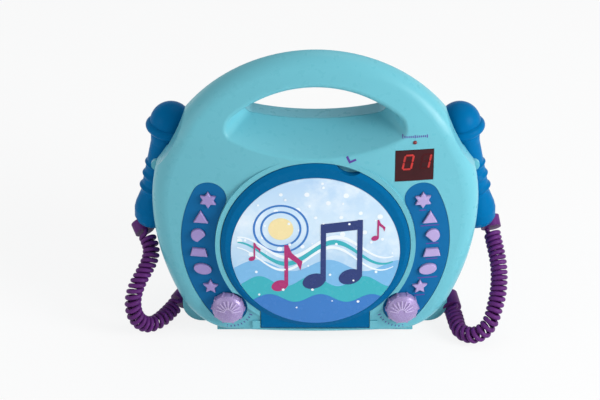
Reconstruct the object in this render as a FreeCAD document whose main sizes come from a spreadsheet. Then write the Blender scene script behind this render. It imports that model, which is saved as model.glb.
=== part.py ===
import FreeCAD, Part
import Sketcher
import math
import operator
import os
from types import SimpleNamespace
from FreeCAD import Placement, Rotation, Vector

# Karaoke CD player. X to the right, Y to the back, Z up, mm. Depths are counted from the seam of the
# two shells, and every sub-part is then placed by seam_y, which centres the player over its origin.

SIZES = {
    # body
    "dome_rad": (123.4, "outline of the dome at the seam"),
    "dome_z": (114.4, "height of the dome's centre"),
    "flank_rad": (183.4, "outline below the dome's centre"),
    "corner_rad": (45, "lower corners of the front shell"),
    "sole_z": (10, "underside of the front shell"),
    "base_z": (1.5, "underside of the rear shell, on its feet"),
    "face_depth": (30, "seam to the middle of the front face"),
    "face_crown": (600, "crown of the front face in plan"),
    "lean_z": (168, "where the face starts to lean back"),
    "lean_rad": (60, "bend into the leaning face"),
    "lean_angle": (19.5, "lean of the face below the handle, degrees"),
    "back_depth": (64, "seam to the back"),
    "handle_back": (12.5, "seam to the back of the handle"),
    "nape_z": (226, "where the back starts to swell below the handle"),
    "nape_rad": (30, "hollow bend below the handle"),
    "swell_rad": (50, "round bend into the back"),
    "swell_angle": (45, "slope between the two bends, degrees"),
    "rear_taper": (0.6, "drop of the rear shell's top for each millimetre behind the seam"),
    "wall": (2.5, "wall of both shells"),
    "side_round": (15.5, "rounding of the front shell's sides"),
    "handle_round": (8.5, "rounding of the handle"),
    "sole_round": (3.5, "rounding of the front shell's underside"),
    "side_top_angle": (35, "where the side rounding ends, degrees"),
    "handle_top_angle": (60, "where the handle rounding starts, degrees"),
    "back_round": (16, "rounding of the rear shell"),
    "seam_gap": (0.4, "groove between the shells"),
    "overrun": (20, "how far a cutter runs past what it cuts"),
    "fit": (0.3, "gap between parts that drop into each other"),
    "slide_fit": (0.05, "radial clearance of a pin in its bore"),
    # handle
    "handle_high": (24, "height of the handle's section"),
    "gap_low": (181, "lowest point of the grip gap at the seam"),
    "gap_end_x": (69, "where the gap's lower edge would meet the handle"),
    "gap_end_z": (192, "height of that point"),
    "gap_round": (8, "ends of the grip gap"),
    "scoop_low": (162, "lowest point of the front scoop on the face"),
    "scoop_end_x": (76, "where the scoop's lower edge would meet the handle"),
    "scoop_end_z": (180, "height of that point"),
    "scoop_round": (7, "ends of the front scoop"),
    "scoop_edge": (3, "rounding of the scoop's edge"),
    "back_flat": (15, "level floor of the gap behind the seam"),
    "back_scoop_low": (148, "lowest point of the rear scoop on the back"),
    "back_scoop_end_z": (172, "height of its ends"),
    # base
    "wing_half": (103, "half width of the rear shell's base"),
    "wing_high": (33, "where the base runs into the dome"),
    "wing_corner": (15, "lower corners of the base"),
    "shelf_front": (12.5, "how far the base reaches under the front shell"),
    "shelf_half": (76, "half width of that shelf"),
    "foot_rad": (6, "rubber foot"),
    "foot_sink": (1.5, "foot sunk into the base"),
    "foot_x": (76, "feet from the middle"),
    "foot_front_y": (0, "front feet from the seam"),
    "foot_back_y": (54, "rear feet from the seam"),
    # disc lid
    "disc_z": (87.5, "height of the disc axis"),
    "lid_rad": (71.4, "disc lid"),
    "lid_gap": (0.5, "gap round the lid"),
    "lid_thick": (4.5, "edge of the lid"),
    "lid_rise": (1.3, "how far the lid's middle stands above its edge"),
    "lid_slope": (3.5, "width of the sloped border"),
    "lid_plate": (2.2, "plate of the lid's middle"),
    "tab_half": (41.5, "half width of the hinge tab"),
    "tab_low": (13.5, "lower edge of the tab"),
    "pin_rad": (1.2, "hinge pins"),
    "pin_reach": (3.5, "how far a pin reaches into the shell"),
    "notch_rad": (12.5, "finger notch in the lid"),
    "notch_deep": (5, "depth of the notch"),
    "notch_angle": (70, "place of the notch, degrees from +X"),
    "picture_rad": (63.7, "picture disc in the lid"),
    "picture_drop": (4, "picture centre below the disc axis"),
    "picture_thick": (0.8, "picture disc"),
    "bezel_wide": (3.9, "raised rim round the lid"),
    "bezel_drop": (0.5, "rim below the lid's edge"),
    "ledge_wide": (6.5, "ledge that the lid rests on"),
    "ledge_thick": (2.6, "the same"),
    "collar_back": (13, "back end of the rim's wall, from the seam"),
    # disc well
    "well_floor": (17, "disc well floor, from the seam"),
    "deck_thick": (2, "deck wall"),
    "hub_hole": (16.5, "deck opening round the turntable"),
    "slot_half": (9.5, "half width of the lens slot"),
    "slot_end": (62, "outer end of the lens slot"),
    # panels
    "panel_in": (75.9, "inner radius of the key panels"),
    "panel_out": (101.5, "outer radius of the key panels"),
    "panel_top": (26.3, "upper end of a panel, degrees from +X"),
    "panel_low": (-40, "lower end of a panel, degrees"),
    "panel_thick": (2, "panel plate"),
    "panel_sink": (0.3, "panel below the face"),
    "panel_back": (14.5, "back of the pad behind a panel, from the seam"),
    "knob_seat": (14.2, "round end of a panel below its knob"),
    "key_ring": (88.7, "keys from the disc axis"),
    "key_proud": (1.9, "keys above the face"),
    "key_travel": (1.2, "key stroke"),
    "key_edge": (0.7, "rounding of a key's edge"),
    "key_flange": (7.2, "retaining flange behind a key"),
    "flange_thick": (1.2, "the same"),
    "star_six_rad": (6.7, "six-point star"),
    "star_six_in": (4, "its inner corners"),
    "star_five_rad": (6, "five-point star"),
    "star_five_in": (3, "its inner corners"),
    "tri_base": (11, "triangle"),
    "tri_high": (10, "the same"),
    "pick_rad": (5.4, "round key with a flat"),
    "pick_flat": (3.4, "flat from its centre"),
    "trap_low": (13.2, "trapeze, lower side"),
    "trap_top": (9.5, "trapeze, upper side"),
    "trap_high": (6.6, "trapeze, height"),
    "oval_long": (13.5, "oval key"),
    "oval_short": (8.8, "the same"),
    "oval_tilt": (7, "tilt of the oval, degrees"),
    "six_point_at": (25, "place of each key on its ring, degrees from +X"),
    "triangle_at": (13.7, "the same"),
    "pick_at": (4, "the same"),
    "trapeze_at": (-5.6, "the same"),
    "oval_at": (-15.2, "the same"),
    "five_point_at": (-25.8, "the same"),
    # knobs
    "knob_x": (66.3, "knobs from the middle"),
    "knob_z": (32, "height of the knobs"),
    "knob_rad": (12.2, "knob"),
    "knob_high": (9.5, "knob"),
    "knob_skirt": (4, "straight side of the knob"),
    "knob_rib": (0.9, "ribs on the knob"),
    "knob_shaft": (3, "potentiometer shaft"),
    "pot_rad": (8, "potentiometer can"),
    "pot_long": (7, "the same"),
    # display
    "window_x": (73.1, "display window from the middle"),
    "window_z": (155, "display window"),
    "window_wide": (28.4, "display window"),
    "window_high": (25.8, "display window"),
    "window_thick": (1.5, "display window"),
    "module_wide": (25.2, "two digits of 12.7 mm pitch"),
    "module_high": (19, "display module"),
    "module_deep": (8, "display module"),
    "module_back": (12, "back of the module, from the seam"),
    "lamp_rad": (1.5, "programme lamp"),
    "lamp_z": (174, "programme lamp"),
    "lamp_long": (9, "programme lamp"),
    "lamp_front": (25, "middle of its round end, from the seam"),
    # boards
    "board_thick": (1.6, "circuit boards"),
    "key_board_y": (8.6, "front of the key board, from the seam"),
    "key_post_ring": (81, "posts of the key board from the disc axis"),
    "key_post_rad": (1.8, "posts of the key board"),
    "post_high_at": (19.35, "place of each post on its ring, degrees from +X"),
    "post_middle_at": (-0.8, "the same"),
    "post_low_at": (-20.5, "the same"),
    "switch_half": (3, "key switch"),
    "switch_high": (2.6, "key switch"),
    "plunger_rad": (1.6, "its plunger"),
    "main_board_y": (24, "front of the main board, from the seam"),
    "main_board_half": (55, "main board"),
    "main_board_low": (74, "main board"),
    "main_board_top": (138, "main board"),
    "post_rad": (3.2, "board posts"),
    "post_x": (50, "board posts from the middle"),
    "post_low": (79, "lower board posts"),
    "post_top": (133, "upper board posts"),
    # drive
    "plate_front": (11, "front of the drive chassis, from the seam"),
    "plate_thick": (2, "drive chassis"),
    "plate_left": (-30, "left end of the chassis"),
    "plate_right": (71, "right end of the chassis"),
    "plate_half": (34, "half height of the chassis"),
    "damper_rad": (4, "rubber dampers"),
    "rail_z": (18, "guide rods above and below the disc axis"),
    "rail_y": (4, "guide rods in front of the seam"),
    "rail_rad": (1.5, "guide rods"),
    "rail_start": (9, "inner rod holder"),
    "holder_thick": (2, "rod holders"),
    "holder_back": (0.5, "back of the rod holders, from the seam"),
    "sled_start": (14, "inner end of the sled at rest"),
    "sled_long": (20, "sled"),
    "sled_front": (8, "front of the sled, from the seam"),
    "sled_back": (0.6, "back of the sled, from the seam"),
    "sled_half": (22, "half height of the sled"),
    "turret_half": (7, "lens turret"),
    "turret_front": (16.4, "front of the turret, from the seam"),
    "lens_rad": (3, "lens"),
    "lens_high": (1.6, "lens"),
    "seat_front": (20.5, "turntable platform, from the seam"),
    "seat_rad": (14, "turntable platform"),
    "seat_thick": (1.6, "the same"),
    "boss_rad": (7.3, "disc boss"),
    "boss_front": (24.4, "front of the boss, from the seam"),
    "mat_thick": (0.6, "turntable mat"),
    "mat_in": (8.5, "inner radius of the mat"),
    "hub_rad": (4.5, "turntable hub"),
    "hub_back": (12.2, "back of the hub, from the seam"),
    "spindle_rad": (1, "spindle"),
    "spindle_back": (4, "spindle end behind the seam"),
    "motor_rad": (12, "spindle motor"),
    "motor_back": (6, "spindle motor behind the seam"),
    "rack_module": (0.8, "module of the rack and the small wheel"),
    "rack_high": (4, "rack bar"),
    "rack_top": (26, "top of the rack bar below the disc axis"),
    "rack_left": (-22, "left end of the rack"),
    "rack_front": (7, "rack, from the seam"),
    "rack_back": (3.4, "rack, from the seam"),
    "wheel_module": (0.5, "module of the large wheel and the pinion"),
    "gear_x": (15, "gear axis"),
    "wheel_front": (0.8, "front of the large wheel behind the seam"),
    "wheel_thick": (1.8, "large wheel"),
    "gear_post": (1, "post of the gear"),
    "sled_motor_rad": (6, "sled motor"),
    "sled_motor_long": (12, "sled motor"),
    "can_wall": (0.8, "wall of the sled motor's can"),
    "rotor_rad": (4.6, "rotor in the can"),
    "bracket_y": (4, "motor bracket behind the seam"),
    "bracket_thick": (1.5, "motor bracket"),
    "backlash": (0.16, "play between teeth"),
    # back
    "grille_rad": (33.5, "speaker grille"),
    "grille_z": (107, "speaker grille"),
    "grille_thick": (2.4, "speaker grille"),
    "slit_pitch": (6.2, "slits of the grille"),
    "slit_wide": (2.6, "slits of the grille"),
    "grille_lip": (3.5, "border of the grille that rests on the shell"),
    "lip_thick": (1.2, "the same"),
    "speaker_rad": (32, "speaker frame"),
    "speaker_deep": (24, "speaker"),
    "bay_half": (57, "half width of the battery bay"),
    "bay_low": (10, "battery bay"),
    "bay_high": (56, "battery bay for two rows of C cells"),
    "bay_deep": (29, "battery bay"),
    "bay_wall": (1.6, "wall of the battery box"),
    "door_thick": (2.4, "battery door"),
    "door_border": (4, "how far the door reaches past the bay"),
    "door_grip_wide": (24, "finger grip on the door"),
    "door_grip_rad": (4, "the same"),
    "contact_thick": (0.4, "battery contacts"),
    "contact_half": (8, "battery contacts"),
    "spring_rad": (5, "contact springs"),
    "spring_long": (6, "contact springs"),
    "jack_x": (84, "jacks from the middle"),
    "jack_z": (60, "jacks"),
    "jack_rad": (5, "jacks"),
    "jack_long": (14, "jacks"),
    "phone_bore": (1.8, "headphone jack bore"),
    "supply_bore": (2.8, "supply jack bore"),
    "supply_pin": (0.9, "supply jack pin"),
    "screw_head": (3, "shell screws"),
    "screw_head_high": (2.2, "shell screws"),
    "screw_rad": (1.4, "shell screws"),
    "screw_long": (16, "shell screws"),
    "screw_seat": (6, "head seat behind the seam"),
    "screw_x": (88, "upper screws from the middle"),
    "screw_z": (184, "upper screws"),
    "screw_low_x": (84, "lower screws from the middle"),
    "screw_low_z": (24, "lower screws"),
    "boss_wall": (2.6, "wall of a screw boss"),
    "boss_end": (13, "end of the upper bosses behind the seam"),
    # microphones
    "mic_y": (19, "microphone axis behind the seam"),
    "head_x": (109, "microphone head from the middle"),
    "head_z": (167.7, "microphone head"),
    "mic_lean": (11.7, "lean of a microphone, degrees"),
    "head_rad": (16, "microphone head"),
    "head_up": (90.2, "head centre above the microphone's end"),
    "ring_up": (85.5, "ring above the end"),
    "ring_rad": (18.5, "microphone ring"),
    "ring_half": (4, "half height of the ring"),
    "grip_rad": (14.6, "widest part of the handle"),
    "mic_gap": (1.9, "room round a microphone in its bay"),
    "bay_below": (30, "how far a microphone's bay runs on below it"),
    "clip_up": (60, "clip above the microphone's end"),
    "clip_half": (4.4, "half height of the clip"),
    "clip_in": (12.7, "clip's inner faces from the axis"),
    "clip_thick": (3.1, "clip's walls"),
    "clip_reach": (9, "clip's prongs past the axis"),
    "scallop_rad": (139, "shallow hollow beside the microphone's head"),
    "scallop_deep": (5.1, "the same"),
    "scallop_angle": (26.3, "its place, degrees from +X"),
    "mic_travel": (60, "how far a microphone is pulled out of its clip"),
    # cords
    "wire_rad": (1.8, "cord wire"),
    "coil_rad": (4.9, "curls, to the middle of the wire"),
    "curl_gap": (0.6, "least gap between curls"),
    "curl_lead": (4, "cord's end to its first curl"),
    "lead_turn": (34, "turn about the route that the lead takes, degrees"),
    "collar_rad": (7.8, "cord collar on a microphone"),
    "collar_long": (9, "the same"),
    "gland_rad": (7.4, "cord gland on the base"),
    "gland_long": (14, "the same"),
    # frame
    "seam_y": (-13.9, "seam from the middle of the player's depth"),
}

# Microphone handle: (height as a share of head_up, radius as a share of grip_rad)
HANDLE_SHARES = [(0.0, 0.0), (0.0, 0.48), (0.018, 0.72), (0.06, 0.91), (0.14, 1.0), (0.19, 0.985),
                 (0.31, 0.836), (0.335, 0.845), (0.365, 0.973), (0.395, 0.845), (0.45, 0.84),
                 (0.483, 0.945), (0.515, 0.84), (0.57, 0.84), (0.593, 0.93), (0.612, 0.836), (0.8, 0.836),
                 (0.86, 0.904), (0.9, 0.904)]

# Cord routes from the gland to the collar, chosen by hand: across, from the seam, and up
LEFT_ROUTE = [(-107, 9, 13.4), (-113.5, 0.5, 9.6), (-120, -7.6, 7.6), (-126.4, -14.2, 7.4), (-131.4, -18, 9.6),
              (-136.3, -20.5, 14.6), (-139.5, -20.8, 21.3), (-140.5, -18.8, 28.4), (-139.8, -16.4, 35.6),
              (-136.6, -12.4, 44), (-131.2, -7.6, 52), (-127.2, -2.4, 58.6), (-126, 3.2, 63.6),
              (-128, 9.6, 68.2), (-131.6, 16.2, 73.2)]
RIGHT_ROUTE = [(107.4, 1.5, 12), (109, -7, 9.8), (110.2, -15, 8.2), (111.6, -22.5, 7.6), (115.5, -28.3, 7.6),
               (121.4, -31.9, 8.3), (127.8, -32.3, 11), (132.8, -30.2, 15.3), (136, -27.3, 20.8),
               (138, -23.3, 27.4), (140.2, -18.8, 34), (141.6, -13.6, 41.5), (142, -6.4, 51),
               (140.8, 1.2, 59.6), (138.8, 8, 66.6), (137.4, 13.6, 71.4), (136.4, 18, 75.6)]
BEND_SHARE = 0.45
SIDE_SHARE = 0.7
MIDDLE_SHARE = 0.5

doc = FreeCAD.newDocument("karaoke_player")
sheet = doc.addObject("Spreadsheet::Sheet", "Sizes")
for row, (alias, (number, note)) in enumerate(SIZES.items(), start=1):
    sheet.set(f"A{row}", note)
    sheet.set(f"B{row}", str(number))
    sheet.setAlias(f"B{row}", alias)
doc.recompute()


class Size:
    """A number that remembers the sheet formula it came from."""

    def __init__(self, number, formula):
        self.number = number
        self.formula = formula

    def __float__(self):
        return self.number

    def __add__(self, other):
        return worked(self, "+", other)

    def __radd__(self, other):
        return worked(other, "+", self)

    def __sub__(self, other):
        return worked(self, "-", other)

    def __rsub__(self, other):
        return worked(other, "-", self)

    def __mul__(self, other):
        return worked(self, "*", other)

    def __rmul__(self, other):
        return worked(other, "*", self)

    def __truediv__(self, other):
        return worked(self, "/", other)

    def __neg__(self):
        return worked(0, "-", self)


SIGNS = {"+": operator.add, "-": operator.sub, "*": operator.mul, "/": operator.truediv}


def formula_of(value):
    return value.formula if isinstance(value, Size) else f"{float(value):.9f}"


def worked(left, sign, right):
    number = SIGNS[sign](float(left), float(right))
    return Size(number, f"({formula_of(left)} {sign} {formula_of(right)})")


d = SimpleNamespace(**{alias: Size(float(sheet.get(alias)), f"Sizes.{alias}") for alias in SIZES})
n = SimpleNamespace(**{alias: float(sheet.get(alias)) for alias in SIZES})
parts = []
placed_y = {}


def cos(degrees):
    return Size(math.cos(math.radians(float(degrees))), f"cos({formula_of(degrees)})")


def sin(degrees):
    return Size(math.sin(math.radians(float(degrees))), f"sin({formula_of(degrees)})")


def bind(obj, prop, value):
    obj.setExpression(prop, formula_of(value))


def put(obj, x=0, y=0, z=0, turn=None):
    """Place an object: an optional turn first, then the bound position."""
    if turn:
        obj.Placement = Placement(Vector(), turn)
    for axis, value in zip("xyz", (x, y, z)):
        bind(obj, f"Placement.Base.{axis}", value)
    placed_y[obj.Name] = y
    return obj


UP = Rotation()
TO_BACK = Rotation(Vector(1, 0, 0), -90)
TO_FRONT = Rotation(Vector(1, 0, 0), 90)
TO_RIGHT = Rotation(Vector(0, 1, 0), 90)
TO_LEFT = Rotation(Vector(0, 1, 0), -90)


def block(name, x, y, z):
    """A box between two bound limits on each axis."""
    box = doc.addObject("Part::Box", name)
    for prop, (low, high) in zip(("Length", "Width", "Height"), (x, y, z)):
        bind(box, prop, high - low)
    return put(box, x[0], y[0], z[0])


def rod(name, radius, length, x=0, y=0, z=0, turn=TO_BACK):
    """A cylinder that starts at its position and runs along the turned +Z."""
    cylinder = doc.addObject("Part::Cylinder", name)
    bind(cylinder, "Radius", radius)
    bind(cylinder, "Height", length)
    return put(cylinder, x, y, z, turn)


def shaped(name, shape):
    feature = doc.addObject("Part::Feature", name)
    feature.Shape = shape
    return feature


def fused(name, *pieces):
    union = doc.addObject("Part::MultiFuse", name)
    union.Shapes = list(pieces)
    union.Refine = True
    return union


def cut(name, base, *tools):
    """One cut after another, the last under the given name."""
    for count, tool in enumerate(tools, start=1):
        last = count == len(tools)
        result = doc.addObject("Part::Cut", name if last else f"{name}_step_{count}")
        result.Base = base
        result.Tool = tool
        result.Refine = last
        base = result
    return base


def grouped(name, *pieces):
    group = doc.addObject("Part::Compound", name)
    group.Links = list(pieces)
    return group


def turned(name, profile, turn=UP, x=0, y=0, z=0):
    """A body turned about its own axis from a closed outline of (radius, height) pairs."""
    body = doc.addObject("PartDesign::Body", name)
    sketch = body.newObject("Sketcher::SketchObject", f"{name}_outline")
    plane = next(f for f in body.Origin.OriginFeatures if f.Role == "XZ_Plane")
    sketch.AttachmentSupport = [(plane, "")]
    sketch.MapMode = "FlatFace"
    spots = [Vector(float(radius), float(height), 0) for radius, height in profile]
    for index, spot in enumerate(spots):
        sketch.addGeometry(Part.LineSegment(spot, spots[(index + 1) % len(spots)]))
    for index in range(len(spots)):
        after = (index + 1) % len(spots)
        sketch.addConstraint(Sketcher.Constraint("Coincident", index, 2, after, 1))
    for index, (radius, height) in enumerate(profile):
        for kind, value in (("DistanceX", radius), ("DistanceY", height)):
            rule = sketch.addConstraint(Sketcher.Constraint(kind, -1, 1, index, 1, float(value)))
            if isinstance(value, Size):
                sketch.setExpression(f"Constraints[{rule}]", value.formula)
    revolution = body.newObject("PartDesign::Revolution", f"{name}_turned")
    revolution.Profile = sketch
    revolution.ReferenceAxis = (sketch, ["V_Axis"])
    revolution.Angle = 360
    body.Tip = revolution
    return put(body, x, y, z, turn)


def finished(label, obj):
    """Name a sub-part, set it at the seam's place and note it for export."""
    obj.Label = label
    bind(obj, "Placement.Base.y", placed_y.get(obj.Name, 0) + d.seam_y)
    parts.append(obj)
    return obj


def across(x, z, y=0.0):
    return Vector(x, y, z)


def on_circle(centre, radius, angle):
    turn = math.radians(angle)
    return across(centre[0] + radius * math.cos(turn), centre[1] + radius * math.sin(turn))


def arc(centre, radius, start, end):
    spots = [on_circle(centre, radius, angle) for angle in (start, (start + end) / 2, end)]
    return Part.Arc(*spots).toShape()


def line(start, end):
    return Part.LineSegment(start, end).toShape()


def prism(wire, front, back):
    """The solid between two depths of an outline drawn in the seam plane."""
    face = Part.Face(wire)
    face.translate(Vector(0, front, 0))
    return face.extrude(Vector(0, back - front, 0))


def drum(radius, front, back, x=0.0, z=0.0):
    """A plain cylinder along Y, for shapes worked out in code."""
    return Part.makeCylinder(radius, back - front, Vector(x, front, z), Vector(0, 1, 0))


def slab(x, y, z):
    """A plain box between limits, for shapes worked out in code."""
    return Part.makeBox(x[1] - x[0], y[1] - y[0], z[1] - z[0], Vector(x[0], y[0], z[0]))


def mirrored(shape):
    return shape.mirror(Vector(), Vector(1, 0, 0))


def filleted(name, shape, radius_at):
    """Round the edges for which radius_at gives radii at both ends, each edge with its own."""
    raw = shaped(f"{name}_raw", shape)
    fillet = doc.addObject("Part::Fillet", name)
    fillet.Base = raw
    chosen = []
    for number, edge in enumerate(shape.Edges, start=1):
        radii = radius_at(edge)
        if radii:
            chosen.append((number, *radii))
    fillet.Edges = chosen
    doc.recompute()
    return fillet


def middle_of(edge):
    return edge.valueAt((edge.FirstParameter + edge.LastParameter) / 2)


def ends_of(edge):
    return edge.valueAt(edge.FirstParameter), edge.valueAt(edge.LastParameter)


# Shells

def dome_outline(inset, low):
    """Outline of the body at the seam: dome, flanks, lower corners and underside."""
    flank = n.flank_rad - inset
    corner = n.corner_rad - inset
    flank_x = n.flank_rad - n.dome_rad
    reach = n.flank_rad - n.corner_rad
    corner_z = low + corner
    corner_x = flank_x - math.sqrt(reach**2 - (corner_z - n.dome_z) ** 2)
    join = math.degrees(math.atan2(corner_z - n.dome_z, corner_x - flank_x)) % 360
    left, right = 540 - join, join
    edges = [arc((0, n.dome_z), n.dome_rad - inset, 0, 180)]
    edges.append(arc((flank_x, n.dome_z), flank, 180, right))
    edges.append(arc((corner_x, corner_z), corner, right, 270))
    edges.append(line(across(corner_x, low), across(-corner_x, low)))
    edges.append(arc((-corner_x, corner_z), corner, 270, left))
    edges.append(arc((-flank_x, n.dome_z), flank, left, 360))
    return Part.Wire(Part.__sortEdges__(edges))


def face_form(inset):
    """Everything behind the crowned front face, which leans back below the handle."""
    front = inset - n.face_depth
    lean = math.radians(n.lean_angle)
    radius = n.lean_rad - inset
    centre_y = n.lean_rad - n.face_depth
    top = n.dome_z + n.dome_rad + n.overrun
    back = n.back_depth

    def bend(share):
        return Vector(0, centre_y - radius * math.cos(lean * share),
                      n.lean_z + radius * math.sin(lean * share))

    bent = bend(1)
    lean_top = Vector(0, bent.y + (top - bent.z) * math.tan(lean), top)
    start, foot = Vector(0, front, n.lean_z), Vector(0, front, -n.overrun)
    back_foot, back_top = Vector(0, back, -n.overrun), Vector(0, back, top)
    edges = [line(foot, start), Part.Arc(start, bend(MIDDLE_SHARE), bent).toShape(), line(bent, lean_top)]
    edges += [line(lean_top, back_top), line(back_top, back_foot), line(back_foot, foot)]
    profile = Part.Face(Part.Wire(edges))
    axis = Vector(0, n.face_crown - n.face_depth, 0)
    sweep = math.degrees(math.asin((n.dome_rad + n.overrun) / (n.face_crown - n.face_depth - n.back_depth)))
    profile.rotate(axis, Vector(0, 0, 1), -sweep)
    return profile.revolve(axis, Vector(0, 0, 1), 2 * sweep)


def back_form(inset):
    """Everything in front of the back, which swells out below the handle."""
    slope = math.radians(n.swell_angle)
    nape, swell = n.nape_rad + inset, n.swell_rad - inset
    nape_y, nape_z = n.handle_back + n.nape_rad, n.nape_z
    run = n.back_depth - n.handle_back - (n.nape_rad + n.swell_rad) * (1 - math.cos(slope))
    drop = (n.nape_rad + n.swell_rad) * math.sin(slope) + run / math.tan(slope)
    swell_y, swell_z = n.back_depth - n.swell_rad, n.nape_z - drop
    top, foot = n.dome_z + n.dome_rad + n.overrun, -n.overrun
    front = -n.face_depth

    def nape_spot(share):
        return Vector(0, nape_y - nape * math.cos(slope * share), nape_z - nape * math.sin(slope * share))

    def swell_spot(share):
        return Vector(0, swell_y + swell * math.cos(slope * share), swell_z + swell * math.sin(slope * share))

    back, thin = n.back_depth - inset, n.handle_back - inset
    edges = [line(Vector(0, front, top), Vector(0, thin, top)), line(Vector(0, thin, top), nape_spot(0))]
    edges.append(Part.Arc(nape_spot(0), nape_spot(MIDDLE_SHARE), nape_spot(1)).toShape())
    edges.append(line(nape_spot(1), swell_spot(1)))
    edges.append(Part.Arc(swell_spot(1), swell_spot(MIDDLE_SHARE), swell_spot(0)).toShape())
    edges += [line(swell_spot(0), Vector(0, back, foot)), line(Vector(0, back, foot), Vector(0, front, foot))]
    edges.append(line(Vector(0, front, foot), Vector(0, front, top)))
    face = Part.Face(Part.Wire(edges))
    reach = n.dome_rad + n.overrun
    face.translate(Vector(-reach, 0, 0))
    return face.extrude(Vector(2 * reach, 0, 0))


def gap_outline(low, end_x, end_z, rounding, grow, depth):
    """Lens with round ends under the handle: an arch above and a sagging edge below."""
    high = n.dome_rad - n.handle_high + grow
    low, end_z, rounding = low - grow, end_z - grow, rounding + grow
    sag = (end_x**2 + (end_z - low) ** 2) / (2 * (end_z - low))
    sag_z = low + sag
    upper, lower = high - rounding, sag - rounding
    apart = sag_z - n.dome_z
    round_z = n.dome_z + (upper**2 - lower**2 + apart**2) / (2 * apart)
    round_x = math.sqrt(upper**2 - (round_z - n.dome_z) ** 2)
    centre = across(round_x, round_z)
    to_upper = (centre - across(0, n.dome_z)).normalize()
    to_lower = (centre - across(0, sag_z)).normalize()
    upper_end, lower_end = centre + to_upper * rounding, centre + to_lower * rounding
    tip = centre + (to_upper + to_lower).normalize() * rounding

    def other(spot):
        return Vector(-spot.x, spot.y, spot.z)

    edges = [Part.Arc(other(upper_end), across(0, n.dome_z + high), upper_end).toShape()]
    edges.append(Part.Arc(upper_end, tip, lower_end).toShape())
    edges.append(Part.Arc(lower_end, across(0, low), other(lower_end)).toShape())
    edges.append(Part.Arc(other(lower_end), other(tip), other(upper_end)).toShape())
    wire = Part.Wire(edges)
    wire.translate(Vector(0, depth, 0))
    return wire


def seam_gap_outline(grow, depth):
    return gap_outline(n.gap_low, n.gap_end_x, n.gap_end_z, n.gap_round, grow, depth)


def front_scoop(grow):
    """Grip gap in front of the seam, widening to a scoop in the face."""
    wide = gap_outline(n.scoop_low, n.scoop_end_x, n.scoop_end_z, n.scoop_round, grow, -n.face_depth)
    return Part.makeLoft([seam_gap_outline(grow, 0), wide], True, True)


def back_scoop(grow):
    """Grip gap behind the seam: level first, then falling away to the back."""
    level = prism(seam_gap_outline(grow, 0), 0, n.back_flat)
    wide = gap_outline(n.back_scoop_low, n.scoop_end_x, n.back_scoop_end_z, n.scoop_round, grow, n.back_depth)
    fall = Part.makeLoft([seam_gap_outline(grow, n.back_flat), wide], True, True)
    return level.fuse(fall)


def rounding_at(spot):
    """Radius of the body's outer rounding: small under the body, large at the sides, less on the handle."""
    if spot.z < n.sole_z + n.fit:
        return n.sole_round
    angle = math.degrees(math.atan2(spot.z - n.dome_z, abs(spot.x)))
    share = (angle - n.side_top_angle) / (n.handle_top_angle - n.side_top_angle)
    return n.side_round + (n.handle_round - n.side_round) * min(max(share, 0), 1)


def on_outline(edge, wall, clear):
    """True for an edge on the front rim of the extruded outline, away from the seam."""
    spot = middle_of(edge)
    away = all(abs(end.y) > clear for end in ends_of(edge))
    return away and wall.distToShape(Part.Vertex(spot))[0] < n.slide_fit


def mic_frame(side):
    """Placement of a microphone: origin at its lower end, +Z up its axis, +X away from the body."""
    lean = math.radians(n.mic_lean)
    turn = Rotation(Vector(0, 1, 0), -side * n.mic_lean)
    end = Vector(side * (n.head_x + n.head_up * math.sin(lean)), n.mic_y,
                 n.head_z - n.head_up * math.cos(lean))
    facing = Rotation() if side > 0 else Rotation(Vector(0, 0, 1), 180)
    return Placement(end, turn.multiply(facing))


def mic_bay(side, grow):
    """Room for a microphone and its way out of the clip, cut from the rear shell."""
    out = n.mic_travel
    body_rad = n.grip_rad + n.mic_gap + grow
    ring_rad = n.ring_rad + n.mic_gap + grow
    ring_low = n.ring_up - n.ring_half - n.mic_gap - grow
    top = n.head_up + n.head_rad + n.overrun
    room = Part.makeCylinder(body_rad, ring_low + n.bay_below, Vector(0, 0, -n.bay_below))
    room = room.fuse(slab((0, out), (-body_rad, body_rad), (-n.bay_below, ring_low)))
    head = Part.makeCylinder(ring_rad, top - ring_low, Vector(0, 0, ring_low))
    head = head.fuse(slab((0, out), (-ring_rad, ring_rad), (ring_low, top)))
    clip_side = n.clip_in + n.clip_thick + n.slide_fit + grow
    clip_z = (n.clip_up - n.clip_half - n.slide_fit - grow, n.clip_up + n.clip_half + n.slide_fit + grow)
    clip_seat = slab((-clip_side, 0), (-clip_side, clip_side), clip_z)
    room = room.fuse([head, clip_seat])
    room.Placement = mic_frame(side)
    return room


def scallop(side, grow):
    """Shallow hollow in the shells' edge beside a microphone's head."""
    reach = n.dome_rad - n.scallop_deep + n.scallop_rad
    angle = math.radians(n.scallop_angle)
    x, z = side * reach * math.cos(angle), n.dome_z + reach * math.sin(angle)
    return drum(n.scallop_rad + grow, -n.face_depth - n.overrun, n.mic_y, x, z)


def route_end(route, last):
    """Position and outward direction of a cord's first or last straight run."""
    tip, inner = (route[-1], route[-2]) if last else (route[0], route[1])
    tip, inner = Vector(*tip), Vector(*inner)
    return tip, (tip - inner).normalize()


def gland_socket(route, grow):
    tip, inward = route_end(route, False)
    return Part.makeCylinder(n.gland_rad + grow, n.gland_long, tip, inward)


ROUTES = {-1: LEFT_ROUTE, 1: RIGHT_ROUTE}
SIDE_NAMES = {-1: "left", 1: "right"}


# Key outlines, drawn round their own centre in the seam plane

def polygon(spots):
    return Part.Face(Part.makePolygon([*spots, spots[0]]))


def star(points, outer, inner):
    spots = []
    for corner in range(2 * points):
        radius = inner if corner % 2 else outer
        spots.append(on_circle((0, 0), radius, 90 + corner * 180 / points))
    return polygon(spots)


def triangle():
    third = n.tri_high / 3
    half = n.tri_base / 2
    return polygon([across(-half, -third), across(half, -third), across(0, n.tri_high - third)])


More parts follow.
